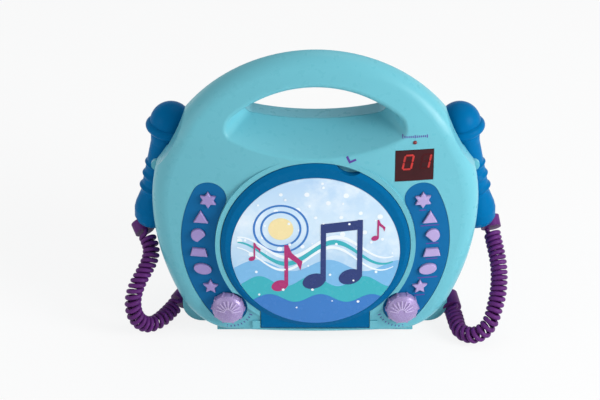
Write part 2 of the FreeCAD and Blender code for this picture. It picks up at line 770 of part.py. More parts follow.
def trapeze():
    low, top, half = n.trap_low / 2, n.trap_top / 2, n.trap_high / 2
    return polygon([across(-low, -half), across(low, -half), across(top, half), across(-top, half)])


def pick():
    """A round outline with one flat that faces down and towards the lid."""
    half = math.degrees(math.acos(n.pick_flat / n.pick_rad))
    flat = 225
    rim = arc((0, 0), n.pick_rad, flat + half, flat + 360 - half)
    return Part.Face(Part.Wire([rim, line(*reversed(ends_of(rim)))]))


def oval(grow=0.0):
    ellipse = Part.Ellipse(Vector(), n.oval_long / 2 + grow, n.oval_short / 2 + grow).toShape()
    ellipse.rotate(Vector(), Vector(1, 0, 0), 90)
    ellipse.rotate(Vector(), Vector(0, 1, 0), -n.oval_tilt)
    return Part.Face(Part.Wire(ellipse))


KEYS = {
    "six_point_key": (n.six_point_at, star(6, n.star_six_rad, n.star_six_in)),
    "triangle_key": (n.triangle_at, triangle()),
    "pick_key": (n.pick_at, pick()),
    "trapeze_key": (n.trapeze_at, trapeze()),
    "oval_key": (n.oval_at, oval()),
    "five_point_key": (n.five_point_at, star(5, n.star_five_rad, n.star_five_in)),
}
KEEP_CORNERS = 2


def key_place(angle, side):
    spot = on_circle((0, n.disc_z), n.key_ring, angle)
    return Vector(side * spot.x, 0, spot.z)


def key_prism(name, side, grow, front, back):
    """A key's outline at its place, as a solid between two depths in front of the seam."""
    angle, face = KEYS[name]
    if name == "oval_key":
        outline = oval(grow)
    else:
        outline = face.makeOffset2D(grow, KEEP_CORNERS) if grow else face.copy()
    if side < 0:
        outline = mirrored(outline)
    outline.translate(key_place(angle, side) + Vector(0, -front, 0))
    return outline.extrude(Vector(0, front - back, 0))


def panel_prism(side, grow):
    """A panel's outline through the whole face: a band round the lid with two round ends."""
    front, back = -n.face_depth - n.overrun, 0
    inner, outer = n.panel_in - grow, n.panel_out + grow
    start, end = n.panel_low, n.panel_top
    centre = (0, n.disc_z)
    corners = [on_circle(centre, inner, end), on_circle(centre, outer, end)]
    corners += [on_circle(centre, outer, start), on_circle(centre, inner, start)]
    edges = [arc(centre, inner, start, end), line(corners[0], corners[1])]
    edges += [arc(centre, outer, end, start), line(corners[2], corners[3])]
    band = prism(Part.Wire(edges), front, back)
    cap = on_circle(centre, (inner + outer) / 2, end)
    band = band.fuse(drum((outer - inner) / 2, front, back, cap.x, cap.z))
    band = band.fuse(drum(n.knob_seat + grow, front, back, n.knob_x, n.knob_z)).removeSplitter()
    return band if side > 0 else mirrored(band)


def knob_frame(side):
    """Placement of a knob: origin on the face, +Z out of it."""
    yaw = math.degrees(math.asin(n.knob_x / n.face_crown))
    depth = n.face_crown * (1 - math.cos(math.radians(yaw))) - n.face_depth
    turn = Rotation(Vector(0, 0, 1), side * yaw).multiply(TO_FRONT)
    return Placement(Vector(side * n.knob_x, depth, n.knob_z), turn)


def knob_bore(side, radius):
    bore = Part.makeCylinder(radius, n.face_depth + n.overrun, Vector(0, 0, -n.face_depth))
    bore.Placement = knob_frame(side)
    return bore


def window_box(wide, high, front, back, grow=0.0):
    half, tall = wide / 2 + grow, high / 2 + grow
    return slab((n.window_x - half, n.window_x + half), (-front, -back),
                (n.window_z - tall, n.window_z + tall))


PAST_FACE = n.face_depth + n.overrun
FACE = face_form(0)


def lid_room(grow, back):
    """The lid's outline from in front of the face back to a depth: a disc and the hinge tab."""
    half = n.tab_half + grow
    disc = drum(n.lid_rad + grow, -PAST_FACE, -back, 0, n.disc_z)
    tab = slab((-half, half), (-PAST_FACE, -back), (n.tab_low - grow, n.disc_z))
    return disc.fuse(tab).removeSplitter()


SCREW_SPOTS = [(side * x, z) for side in (-1, 1)
               for x, z in ((n.screw_x, n.screw_z), (n.screw_low_x, n.screw_low_z))]
LID_BACK = n.face_depth - n.lid_thick
PIVOT_Y = n.face_depth - n.lid_thick / 2
PIVOT_Z = n.tab_low + n.lid_thick / 2


def front_skin():
    """Outside of the front shell, rounded along its rim and along the scoop."""
    body = prism(dome_outline(0, n.sole_z), -PAST_FACE, -n.seam_gap / 2)
    scoop = front_scoop(0)
    raw = body.common(FACE).cut(scoop).Solids[0]
    rim = Part.makeShell([face for face in body.Faces if abs(face.normalAt(0, 0).y) < BEND_SHARE])
    lips = Part.makeShell([face for face in scoop.Faces if face.BoundBox.YLength > n.wall])

    def rim_radii(edge):
        if on_outline(edge, rim, n.wall):
            return [rounding_at(end) for end in ends_of(edge)]
        return None

    def lip_radii(edge):
        if not on_outline(edge, lips, n.wall):
            return None
        radius = n.handle_round if middle_of(edge).z > n.gap_end_z else n.scoop_edge
        return radius, radius

    rounded = filleted("front_rim", raw, rim_radii)
    return filleted("front_skin", rounded.Shape, lip_radii)


def front_cavity():
    body = prism(dome_outline(n.wall, n.sole_z + n.wall), -PAST_FACE, n.overrun)
    raw = body.common(face_form(n.wall)).Solids[0]
    rim = Part.makeShell([face for face in body.Faces if abs(face.normalAt(0, 0).y) < BEND_SHARE])
    raw = raw.makeFillet(n.side_round - n.wall, [edge for edge in raw.Edges if on_outline(edge, rim, n.wall)
                                                 and middle_of(edge).z > n.sole_z + 2 * n.wall])
    below = slab((-n.dome_rad, n.dome_rad), (-PAST_FACE, n.overrun), (0, n.gap_low - n.wall))
    return raw.common(below).cut([front_scoop(n.wall), scallop(-1, n.wall), scallop(1, n.wall)])


def front_shell():
    lid_edge = n.lid_rad + n.lid_gap
    bezel = n.face_depth - n.bezel_drop
    hollow = shaped("front_cavity", front_cavity())
    skin = cut("front_walls", front_skin(), hollow)
    collar = drum(lid_edge + n.bezel_wide, -bezel, -n.collar_back, 0, n.disc_z).cut(front_scoop(n.scoop_edge))
    ledge_front = LID_BACK - n.fit
    half = n.tab_half + n.lid_gap
    hinge_floor = slab((-half, half), (-ledge_front, n.ledge_thick - ledge_front),
                       (n.sole_z + n.sole_round, n.disc_z))
    added = [collar, hinge_floor]
    for side in (-1, 1):
        ends = sorted((side * half, side * (half + n.pin_reach + n.wall)))
        cheek_z = (n.sole_z + n.sole_round, PIVOT_Z + n.lid_thick)
        added.append(slab(ends, (-bezel, n.ledge_thick - ledge_front), cheek_z))
        pad = panel_prism(side, n.wall).common(FACE)
        added.append(pad.cut(slab((-n.dome_rad, n.dome_rad), (-n.panel_back, n.overrun), (0, n.lean_z))))
    added.append(window_box(n.window_wide, n.window_high, PAST_FACE, n.module_back, n.wall).common(FACE))
    added.append(drum(n.lamp_rad + n.wall, -PAST_FACE, -n.module_back, n.window_x, n.lamp_z).common(FACE))
    for x, z in SCREW_SPOTS:
        added.append(drum(n.screw_rad + n.boss_wall, -n.screw_long, -n.seam_gap / 2, x, z).common(FACE))
    for angle in (n.post_high_at, n.post_middle_at, n.post_low_at):
        spot = on_circle((0, n.disc_z), n.key_post_ring, angle)
        added.append(drum(n.key_post_rad, -n.panel_back - n.fit, -n.key_board_y, spot.x, spot.z))
    removed = [lid_room(n.lid_gap, ledge_front)]
    removed.append(drum(lid_edge - n.ledge_wide, -PAST_FACE, n.overrun, 0, n.disc_z))
    removed.append(drum(lid_edge, n.ledge_thick - ledge_front, n.overrun, 0, n.disc_z))
    pin_bore = Part.makeCylinder(n.pin_rad + n.slide_fit, 2 * (half + n.pin_reach + n.fit),
                                 Vector(-half - n.pin_reach - n.fit, -PIVOT_Y, PIVOT_Z), Vector(1, 0, 0))
    removed.append(pin_bore)
    for side in (-1, 1):
        removed.append(panel_prism(side, n.fit).cut(face_form(n.panel_sink + n.panel_thick)))
        removed.append(Part.makeCompound([key_prism(name, side, n.fit, PAST_FACE, 0) for name in KEYS]))
        removed.append(knob_bore(side, n.knob_shaft + n.fit))
        removed.append(scallop(side, 0))
    pane = window_box(n.window_wide, n.window_high, PAST_FACE, 0, n.fit)
    removed.append(pane.cut(face_form(n.window_thick)))
    removed.append(window_box(n.module_wide, n.module_high, PAST_FACE, 0, n.slide_fit))
    removed.append(drum(n.lamp_rad + n.slide_fit, -PAST_FACE, n.overrun, n.window_x, n.lamp_z))
    pilots = [drum(n.screw_rad + n.slide_fit, n.screw_seat - n.screw_long, n.overrun, x, z)
              for x, z in SCREW_SPOTS]
    removed.append(Part.makeCompound(pilots))
    solids = [shaped(f"front_added_{count}", shape) for count, shape in enumerate(added)]
    cutters = [shaped(f"front_removed_{count}", shape) for count, shape in enumerate(removed)]
    finished("front_shell", cut("front_shell", fused("front_filled", skin, *solids), *cutters))


def rear_body(inset):
    """The outline run back from the seam, its top dropping on the way."""
    outline = dome_outline(inset, n.sole_z + inset)
    length = n.back_depth + n.overrun
    leaning = Part.Face(outline).extrude(Vector(0, length, -n.rear_taper * length))
    return prism(outline, n.seam_gap / 2, length).common(leaning)


def rear_sides(body):
    return Part.makeShell([face for face in body.Faces if abs(face.normalAt(0, 0).y) < SIDE_SHARE])


REAR_FORM = rear_body(0).common(back_form(0))


def rear_skin():
    """Outside of the rear shell: the dome with its swelling back, and the straight base."""
    raw = REAR_FORM.cut(back_scoop(0)).Solids[0]
    rim = rear_sides(rear_body(0))

    def radii(edge):
        if not on_outline(edge, rim, n.wall):
            return None
        return [min(rounding_at(end) if end.z > n.dome_z else n.back_round, n.back_round)
                for end in ends_of(edge)]

    dome = filleted("rear_rim", raw, radii)
    base = slab((-n.wing_half, n.wing_half), (n.seam_gap / 2, n.back_depth), (n.base_z, n.wing_high))
    corners = [edge for edge in base.Edges
               if edge.BoundBox.ZMax < n.wing_high and edge.BoundBox.XLength < n.fit]
    base = base.makeFillet(n.wing_corner, [edge for edge in corners if edge.BoundBox.YLength > n.wall])
    shelf = slab((-n.shelf_half, n.shelf_half), (-n.shelf_front, n.wing_corner), (n.base_z, n.sole_z))
    return fused("rear_skin", dome, shaped("rear_base", base), shaped("rear_shelf", shelf))


def rear_cavity():
    body = rear_body(n.wall)
    raw = body.common(back_form(n.wall)).Solids[0]
    rim = rear_sides(body)
    back = [edge for edge in raw.Edges if on_outline(edge, rim, n.wall) and middle_of(edge).y > 0]
    raw = raw.makeFillet(n.back_round - n.wall, back)
    half = n.wing_half - n.wall
    base = slab((-half, half), (n.wall, n.back_depth - n.wall), (n.base_z + n.wall, n.wing_high + n.wall))
    corners = [edge for edge in base.Edges
               if edge.BoundBox.ZMax < n.wing_high and edge.BoundBox.XLength < n.fit]
    lengthwise = [edge for edge in corners if edge.BoundBox.YLength > n.wall]
    base = base.makeFillet(n.wing_corner - n.wall, lengthwise)
    hollow = raw.fuse(base)
    hollow = hollow.common(slab((-n.dome_rad, n.dome_rad), (-PAST_FACE, PAST_FACE + n.back_depth),
                                (0, n.gap_low - n.wall)))
    return hollow.cut([back_scoop(n.wall), mic_bay(-1, n.wall), mic_bay(1, n.wall)])


def bay_box(grow, front, back):
    half = n.bay_half + grow
    return slab((-half, half), (front, back), (n.bay_low - grow, n.bay_low + n.bay_high + grow))


DOOR_SEAT = n.back_depth - n.door_thick
INNER_BACK = n.back_depth - n.wall


def rear_shell():
    hollow = shaped("rear_cavity", rear_cavity())
    walls = cut("rear_walls", rear_skin(), hollow)
    frame = n.door_border + n.wall
    added = [bay_box(frame, DOOR_SEAT - 2 * n.wall, INNER_BACK)]
    added[0] = added[0].common(slab((-n.wing_half, n.wing_half), (0, n.back_depth), (n.base_z, n.dome_z)))
    post_front = n.main_board_y + n.board_thick
    for x in (-n.post_x, n.post_x):
        for z in (n.post_low, n.post_top):
            added.append(drum(n.post_rad, post_front, INNER_BACK + n.fit, x, z))
    for x, z in SCREW_SPOTS:
        end = n.boss_end if z > n.dome_z else n.back_depth
        added.append(drum(n.screw_head + n.boss_wall, n.seam_gap / 2, end, x, z).common(REAR_FORM))
    removed = [mic_bay(side, 0) for side in (-1, 1)]
    removed += [scallop(side, 0) for side in (-1, 1)]
    removed += [gland_socket(ROUTES[side], n.slide_fit) for side in (-1, 1)]
    removed.append(bay_box(n.door_border, DOOR_SEAT, n.back_depth + n.overrun))
    removed.append(bay_box(n.bay_wall + n.slide_fit, n.wall, n.back_depth))
    removed.append(drum(n.grille_rad + n.slide_fit, n.back_depth - n.lip_thick, PAST_FACE * 2, 0, n.grille_z))
    removed.append(drum(n.grille_rad - n.grille_lip + n.slide_fit, INNER_BACK - n.fit, PAST_FACE * 2, 0,
                        n.grille_z))
    jacks = [drum(n.jack_rad + n.slide_fit, INNER_BACK - n.overrun, PAST_FACE * 2, x, n.jack_z)
             for x in (-n.jack_x, n.jack_x)]
    removed.append(Part.makeCompound(jacks))
    heads = [drum(n.screw_head + n.fit, n.screw_seat, PAST_FACE * 2, x, z) for x, z in SCREW_SPOTS]
    shanks = [drum(n.screw_rad + n.slide_fit, -n.overrun, n.screw_seat + n.fit, x, z) for x, z in SCREW_SPOTS]
    sockets = [Part.makeCylinder(n.foot_rad, n.foot_sink, Vector(x, y, n.base_z)) for x, y in FOOT_SPOTS]
    removed += [Part.makeCompound(heads), Part.makeCompound(shanks), Part.makeCompound(sockets)]
    solids = [shaped(f"rear_added_{count}", shape) for count, shape in enumerate(added)]
    cutters = [shaped(f"rear_removed_{count}", shape) for count, shape in enumerate(removed)]
    finished("rear_shell", cut("rear_shell", fused("rear_filled", walls, *solids), *cutters))


FOOT_SPOTS = [(side * n.foot_x, y) for side in (-1, 1)
              for y in (n.foot_front_y + n.foot_rad + n.wall, n.foot_back_y)]


# Disc door

def cd_lid():
    front = n.face_depth + n.lid_rise
    half = n.tab_half
    plate = drum(n.lid_rad, -n.face_depth, -LID_BACK, 0, n.disc_z)
    tab = slab((-half, half), (-n.face_depth, -LID_BACK), (PIVOT_Z, n.disc_z))
    slope = Part.makeCone(n.lid_rad - n.lid_slope, n.lid_rad, n.lid_rise, Vector(0, -front, n.disc_z),
                          Vector(0, 1, 0))
    plate = plate.fuse([tab, slope]).removeSplitter()
    barrel = Part.makeCylinder(n.lid_thick / 2, 2 * half, Vector(-half, -PIVOT_Y, PIVOT_Z), Vector(1, 0, 0))
    pin = Part.makeCylinder(n.pin_rad, 2 * (half + n.pin_reach),
                            Vector(-half - n.pin_reach, -PIVOT_Y, PIVOT_Z),
                            Vector(1, 0, 0))
    notch = on_circle((0, n.disc_z), n.lid_rad - n.notch_deep + n.notch_rad, n.notch_angle)
    hollow = drum(n.picture_rad - n.lid_slope, n.lid_plate - front, 0, 0, n.disc_z - n.picture_drop / 2)
    seat = drum(n.picture_rad + n.fit, -front - n.overrun, n.picture_thick - front, 0,
                n.disc_z - n.picture_drop)
    lid = cut("lid_plate", shaped("lid_disc", plate), shaped("lid_hollow", hollow), shaped("lid_seat", seat),
              shaped("lid_notch", drum(n.notch_rad, -front - n.fit, 0, notch.x, notch.z)))
    finished("cd_lid", fused("cd_lid", lid, shaped("lid_barrel", barrel), shaped("lid_pins", pin)))


def lid_picture():
    front = d.face_depth + d.lid_rise
    disc = rod("lid_picture", d.picture_rad, d.picture_thick, 0, -front, d.disc_z - d.picture_drop)
    finished("lid_picture", disc)


# Panels, keys and knobs

def panels():
    for side in (-1, 1):
        name = f"{SIDE_NAMES[side]}_panel"
        plate = panel_prism(side, 0).common(face_form(n.panel_sink))
        plate = plate.cut(face_form(n.panel_sink + n.panel_thick - n.slide_fit))
        holes = Part.makeCompound([key_prism(key, side, n.fit, PAST_FACE, 0) for key in KEYS])
        bore = knob_bore(side, n.knob_shaft + n.fit)
        finished(name, cut(name, shaped(f"{name}_plate", plate), shaped(f"{name}_holes", holes),
                           shaped(f"{name}_bore", bore)))


def key_cap(name, side, back):
    """A key from a depth in front of the seam out past the face, with a softened edge."""
    cap = key_prism(name, side, 0, PAST_FACE, back).common(face_form(-n.key_proud))
    top = [edge for edge in cap.Edges
           if edge.BoundBox.YMax < -n.face_depth / 2 and edge.BoundBox.YLength < n.wall]
    return cap.makeFillet(n.key_edge, top)


def keys():
    back = n.panel_back - n.flange_thick - n.slide_fit
    for name, (angle, _) in KEYS.items():
        cap = shaped(f"{name}_cap", key_cap(name, 1, back))
        ring = d.key_ring
        flange = rod(f"{name}_flange", d.key_flange, d.flange_thick, ring * cos(angle),
                     -d.panel_back + d.slide_fit, d.disc_z + ring * sin(angle))
        finished(name, fused(name, cap, flange))


def left_ornaments():
    back = n.panel_back - n.flange_thick
    caps = [shaped(f"ornament_{name}", key_cap(name, -1, back)) for name in KEYS]
    band = panel_prism(-1, -n.panel_thick).common(slab((-n.dome_rad, 0), (-n.panel_back, -back),
                                                       (n.knob_z + n.knob_seat, n.dome_rad * 2)))
    finished("left_ornaments", fused("left_ornaments", *caps, shaped("ornament_band", band)))


DOME_STEPS = 6


def knobs():
    names = {-1: "mic_volume", 1: "volume"}
    ribs = 10
    for side, stem in names.items():
        place = knob_frame(side)
        spot = place.Base
        name = f"{stem}_knob"
        low = d.fit
        skirt, high = low + d.knob_skirt, low + d.knob_high
        profile = [(0, -d.knob_shaft), (d.knob_shaft, -d.knob_shaft), (d.knob_shaft, low), (d.knob_rad, low)]
        for step in range(DOME_STEPS + 1):
            turn = 90 * step / DOME_STEPS
            reach = skirt + (high - skirt) * sin(turn)
            width = d.knob_rad * cos(turn) if step < DOME_STEPS else 0
            profile.append((width, reach))
        dome = turned(f"{name}_dome", profile)
        round_ribs = []
        for count in range(ribs):
            angle = count * 360 / ribs
            x, y = d.knob_rad * cos(angle), d.knob_rad * sin(angle)
            round_ribs.append(rod(f"{name}_rib_{count}", d.knob_rib, d.knob_skirt + d.knob_rib, x, y, low,
                                  UP))
        knob = fused(name, dome, *round_ribs)
        finished(name, put(knob, spot.x, spot.y, spot.z, place.Rotation))
        pot_name = f"{stem}_pot"
        front = d.panel_back + spot.y - d.pot_rad * d.knob_x / d.face_crown - d.fit
        end, back = -d.knob_shaft - d.fit, front - d.pot_long
        can = [(0, back), (d.pot_rad, back), (d.pot_rad, front), (d.knob_shaft, front), (d.knob_shaft, end),
               (0, end)]
        finished(pot_name, turned(pot_name, can, place.Rotation, spot.x, spot.y, spot.z))


# Display, lamp and boards

def display():
    window = window_box(n.window_wide, n.window_high, PAST_FACE, 0)
    window = window.common(FACE).cut(face_form(n.window_thick))
    finished("display_window", shaped("display_window", window))
    half, tall = d.module_wide / 2, d.module_high / 2
    module = block("module_body", (d.window_x - half, d.window_x + half),
                   (-d.module_back - d.module_deep, -d.module_back), (d.window_z - tall, d.window_z + tall))
    plate = block("module_board", (d.window_x - half - d.wall, d.window_x + half + d.wall),
                  (-d.module_back, d.board_thick - d.module_back),
                  (d.window_z - tall - d.wall, d.window_z + tall + d.wall))
    finished("display_module", fused("display_module", module, plate))
    tip = d.lamp_front
    lamp = rod("lamp_stem", d.lamp_rad, d.lamp_long, d.window_x, -tip, d.lamp_z)
    dome = doc.addObject("Part::Sphere", "lamp_dome")
    bind(dome, "Radius", d.lamp_rad)
    put(dome, d.window_x, -tip, d.lamp_z)
    finished("program_led", fused("program_led", lamp, dome))


def boards():
    front, back = -n.key_board_y, n.board_thick - n.key_board_y
    inner, outer = n.panel_in + n.wall, n.panel_out - n.wall
    centre = (0, n.disc_z)
    low, top = n.five_point_at - n.key_flange, n.six_point_at + n.key_flange
    edges = [arc(centre, inner, low, top), line(on_circle(centre, inner, top), on_circle(centre, outer, top))]
    edges += [arc(centre, outer, top, low),
              line(on_circle(centre, outer, low), on_circle(centre, inner, low))]
    finished("key_board", shaped("key_board", prism(Part.Wire(edges), front, back)))
    switches = []
    free = d.panel_back - d.flange_thick - d.slide_fit - d.key_board_y
    for name, (angle, _) in KEYS.items():
        x, z = d.key_ring * cos(angle), d.disc_z + d.key_ring * sin(angle)
        half = d.switch_half
        body = block(f"{name}_switch_body", (x - half, x + half),
                     (-d.key_board_y - d.switch_high, -d.key_board_y),
                     (z - half, z + half))
        plunger = rod(f"{name}_plunger", d.plunger_rad, free - d.key_travel - d.slide_fit, x, -d.key_board_y,
                      z, TO_FRONT)
        switches.append(fused(f"{name}_switch", body, plunger))
    finished("key_switches", grouped("key_switches", *switches))
    half = d.main_board_half
    board = block("main_board", (-half, half), (d.main_board_y, d.main_board_y + d.board_thick),
                  (d.main_board_low, d.main_board_top))
    finished("main_board", board)


# Disc deck and drive

def disc_deck():
    front = n.ledge_thick - LID_BACK + n.fit
    well = n.lid_rad + n.lid_gap - n.ledge_wide
    floor = -n.well_floor
    outer = drum(well + n.deck_thick * 2, front, floor + n.deck_thick, 0, n.disc_z)
    hollow = drum(well - n.fit, -PAST_FACE, floor, 0, n.disc_z)
    hub = drum(n.hub_hole, -PAST_FACE, 0, 0, n.disc_z)
    slot = slab((0, n.slot_end), (-PAST_FACE, 0), (n.disc_z - n.slot_half, n.disc_z + n.slot_half))
    deck = cut("disc_deck", shaped("deck_block", outer), shaped("deck_well", hollow), shaped("deck_hub", hub),
               shaped("deck_slot", slot))
    finished("disc_deck", deck)


# Tooth form: pressure angle in degrees, then tip and root from the pitch line as shares of the module
PRESSURE = 20
TIP_SHARE, ROOT_SHARE = 0.9, 1.15
FLANK_STEPS = 5


def gear_outline(teeth, module, play):
    """Toothed wheel outline: involute flanks, thinned by the play, closed by tip and root lines."""
    pressure = math.radians(PRESSURE)
    pitch = teeth * module / 2
    base = pitch * math.cos(pressure)
    tip, root = pitch + TIP_SHARE * module, pitch - ROOT_SHARE * module
    flank_start = max(base, root)
    half = math.pi / (2 * teeth) - play / (2 * pitch) + math.tan(pressure) - pressure
    spots = []
    for tooth in range(teeth):
        middle = 2 * math.pi * tooth / teeth
        flank = []
        for step in range(FLANK_STEPS):
            radius = flank_start + (tip - flank_start) * step / (FLANK_STEPS - 1)
            lean = math.acos(base / radius)
            flank.append((radius, half - (math.tan(lean) - lean)))
        foot = (root, half)
        rising = [foot, *flank]
        spots += [(radius, middle - angle) for radius, angle in rising]
        spots += [(radius, middle + angle) for radius, angle in reversed(rising)]
    return polygon([across(radius * math.cos(angle), radius * math.sin(angle)) for radius, angle in spots])


SMALL_TEETH, LARGE_TEETH, PINION_TEETH = 16, 40, 12
GEAR_RAD = SMALL_TEETH * n.rack_module / 2
GEAR_Z = n.disc_z - n.rack_top - n.rack_high - GEAR_RAD
WHEEL_APART = (LARGE_TEETH + PINION_TEETH) * n.wheel_module / 2
PINION_X = n.gear_x - WHEEL_APART


def rack():
    """Toothed bar under the sled; a tooth gap stands over the gear's axis at rest."""
    pitch = math.pi * n.rack_module
    line_z = n.disc_z - n.rack_top - n.rack_high
    tip, root = line_z - TIP_SHARE * n.rack_module, line_z + ROOT_SHARE * n.rack_module
    lean = math.tan(math.radians(PRESSURE)) * n.rack_module
    tip_lean, root_lean = TIP_SHARE * lean, ROOT_SHARE * lean
    half = pitch / 4 - n.backlash / 2
    right = n.sled_start + n.sled_long
    first = math.ceil((n.rack_left - n.gear_x) / pitch)
    last = math.floor((right - n.gear_x) / pitch) - 1
    spots = [across(n.rack_left, n.disc_z - n.rack_top), across(n.rack_left, root)]
    for tooth in range(first, last + 1):
        middle = n.gear_x + (tooth + 0.5) * pitch
        spots += [across(middle - half - root_lean, root), across(middle - half + tip_lean, tip)]
        spots += [across(middle + half - tip_lean, tip), across(middle + half + root_lean, root)]
    spots += [across(right, root), across(right, n.disc_z - n.rack_top)]
    face = polygon(spots)
    face.translate(Vector(0, -n.rack_front, 0))
    return face.extrude(Vector(0, n.rack_front - n.rack_back, 0))


def sled():
    start, end = d.sled_start, d.sled_start + d.sled_long
    body = block("sled_body", (start, end), (-d.sled_front, -d.sled_back),
                 (d.disc_z - d.sled_half, d.disc_z + d.sled_half))
    lens_x = (start + end) / 2
    turret = block("sled_turret", (lens_x - d.turret_half, lens_x + d.turret_half),
                   (-d.turret_front, -d.sled_front),
                   (d.disc_z - d.turret_half, d.disc_z + d.turret_half))
    foot = block("sled_foot", (start, end), (-d.rack_front, -d.rack_back),
                 (d.disc_z - d.rack_top, d.disc_z - d.sled_half))
    bores = [rod(f"sled_bore_{count}", d.rail_rad + d.slide_fit, d.sled_long + 2 * d.fit, start - d.fit,
                 -d.rail_y, z, TO_RIGHT)
             for count, z in enumerate((d.disc_z - d.rail_z, d.disc_z + d.rail_z))]
    whole = fused("sled_block", body, turret, foot, shaped("sled_rack", rack()))
    finished("laser_sled", cut("laser_sled", whole, *bores))
    lens = rod("laser_lens", d.lens_rad, d.lens_high, lens_x, -d.turret_front, d.disc_z, TO_FRONT)
    finished("laser_lens", lens)


def drive_gears():
    upright = 90
    small = gear_outline(SMALL_TEETH, n.rack_module, n.backlash)
    small.rotate(Vector(), Vector(0, 1, 0), -upright)
    small.translate(Vector(0, -n.rack_front, 0))
    small = small.extrude(Vector(0, n.rack_front + n.wheel_front, 0))
    large = gear_outline(LARGE_TEETH, n.wheel_module, n.backlash)
    large.translate(Vector(0, n.wheel_front, 0))
    large = large.extrude(Vector(0, n.wheel_thick, 0))
    bore = drum(n.gear_post + n.slide_fit, -PAST_FACE, PAST_FACE)
    gear = small.fuse(large).cut(bore)
    finished("sled_gear", put(shaped("sled_gear", gear), d.gear_x, 0, GEAR_Z))
    pinion = gear_outline(PINION_TEETH, n.wheel_module, n.backlash)
    pinion.rotate(Vector(), Vector(0, 1, 0), -180 / PINION_TEETH)
    pinion.translate(Vector(0, n.wheel_front, 0))
    pinion = pinion.extrude(Vector(0, n.wheel_thick, 0))
    can_front = n.bracket_y + n.bracket_thick
    rotor_front = can_front + n.can_wall + n.fit
    rotor_back = can_front + n.sled_motor_long - n.can_wall - n.fit
    shaft = drum(n.gear_post, n.wheel_front, rotor_front + n.fit)
    whole = pinion.fuse([shaft, drum(n.rotor_rad, rotor_front, rotor_back)])
    finished("motor_pinion", put(shaped("motor_pinion", whole), PINION_X, 0, GEAR_Z))


def mech_chassis():
    front, back = -d.plate_front, d.plate_thick - d.plate_front
    z = d.disc_z
    plate = block("chassis_plate", (d.plate_left, d.plate_right), (front, back),
                  (z - d.plate_half, z + d.plate_half))
    tab = block("chassis_tab", (d.plate_left, d.slot_end - d.overrun + d.damper_rad), (front, back),
                (GEAR_Z - d.plate_half / 2, z - d.plate_half))
    holders = []
    for count, x in enumerate((d.rail_start, d.plate_right - d.holder_thick)):
        for level, height in enumerate((z - d.rail_z, z + d.rail_z)):
            reach = d.rail_rad * 2
            holders.append(block(f"holder_{count}_{level}", (x, x + d.holder_thick), (back, -d.holder_back),
                                 (height - reach, height + reach)))
    motor = d.sled_motor_rad
    low = GEAR_Z - motor - d.bracket_thick
    wall = block("bracket_wall", (PINION_X - motor, PINION_X + d.holder_thick),
                 (back, d.bracket_y + d.bracket_thick),
                 (low, low + d.bracket_thick))
    face = block("bracket_face", (PINION_X - motor, PINION_X + motor),
                 (d.bracket_y, d.bracket_y + d.bracket_thick),
                 (low, GEAR_Z + motor))
    post = rod("gear_post", d.gear_post, d.plate_front - d.plate_thick + d.wheel_front + d.wheel_thick,
               d.gear_x, back, GEAR_Z)
    whole = fused("chassis_block", plate, tab, *holders, wall, face, post)
    window = block("chassis_slot", (d.rail_start + d.holder_thick, d.plate_right - d.holder_thick),
                   (front - d.fit, back + d.fit), (z - d.slot_half, z + d.slot_half))
    spindle = rod("chassis_spindle_hole", d.hub_rad + d.fit, d.overrun, 0, front - d.fit, z)
    shaft = rod("bracket_hole", d.gear_post + d.slide_fit, d.overrun, PINION_X, d.wheel_front, GEAR_Z)
    rails = [rod(f"holder_bore_{count}", d.rail_rad + d.slide_fit, d.plate_right * 2, d.rail_start - d.fit,
                 -d.rail_y, height, TO_RIGHT)
             for count, height in enumerate((z - d.rail_z, z + d.rail_z))]
    finished("mech_chassis", cut("mech_chassis", whole, window, spindle, shaft, *rails))
    rods = [rod(f"rail_{count}", d.rail_rad, d.plate_right - d.rail_start, d.rail_start, -d.rail_y, height,
                TO_RIGHT)
            for count, height in enumerate((z - d.rail_z, z + d.rail_z))]
    finished("guide_rods", grouped("guide_rods", *rods))
    gap = d.well_floor - d.deck_thick - d.plate_front
    spots = [(d.plate_left + d.damper_rad, z + d.plate_half - d.damper_rad),
             (d.plate_left + d.damper_rad, GEAR_Z),
             (d.slot_end - d.damper_rad, z + d.plate_half - d.damper_rad - d.wall),
             (d.slot_end - d.overrun, GEAR_Z)]
    dampers = [rod(f"damper_{count}", d.damper_rad, gap, x, front, height, TO_FRONT)
               for count, (x, height) in enumerate(spots)]
    finished("mech_dampers", grouped("mech_dampers", *dampers))


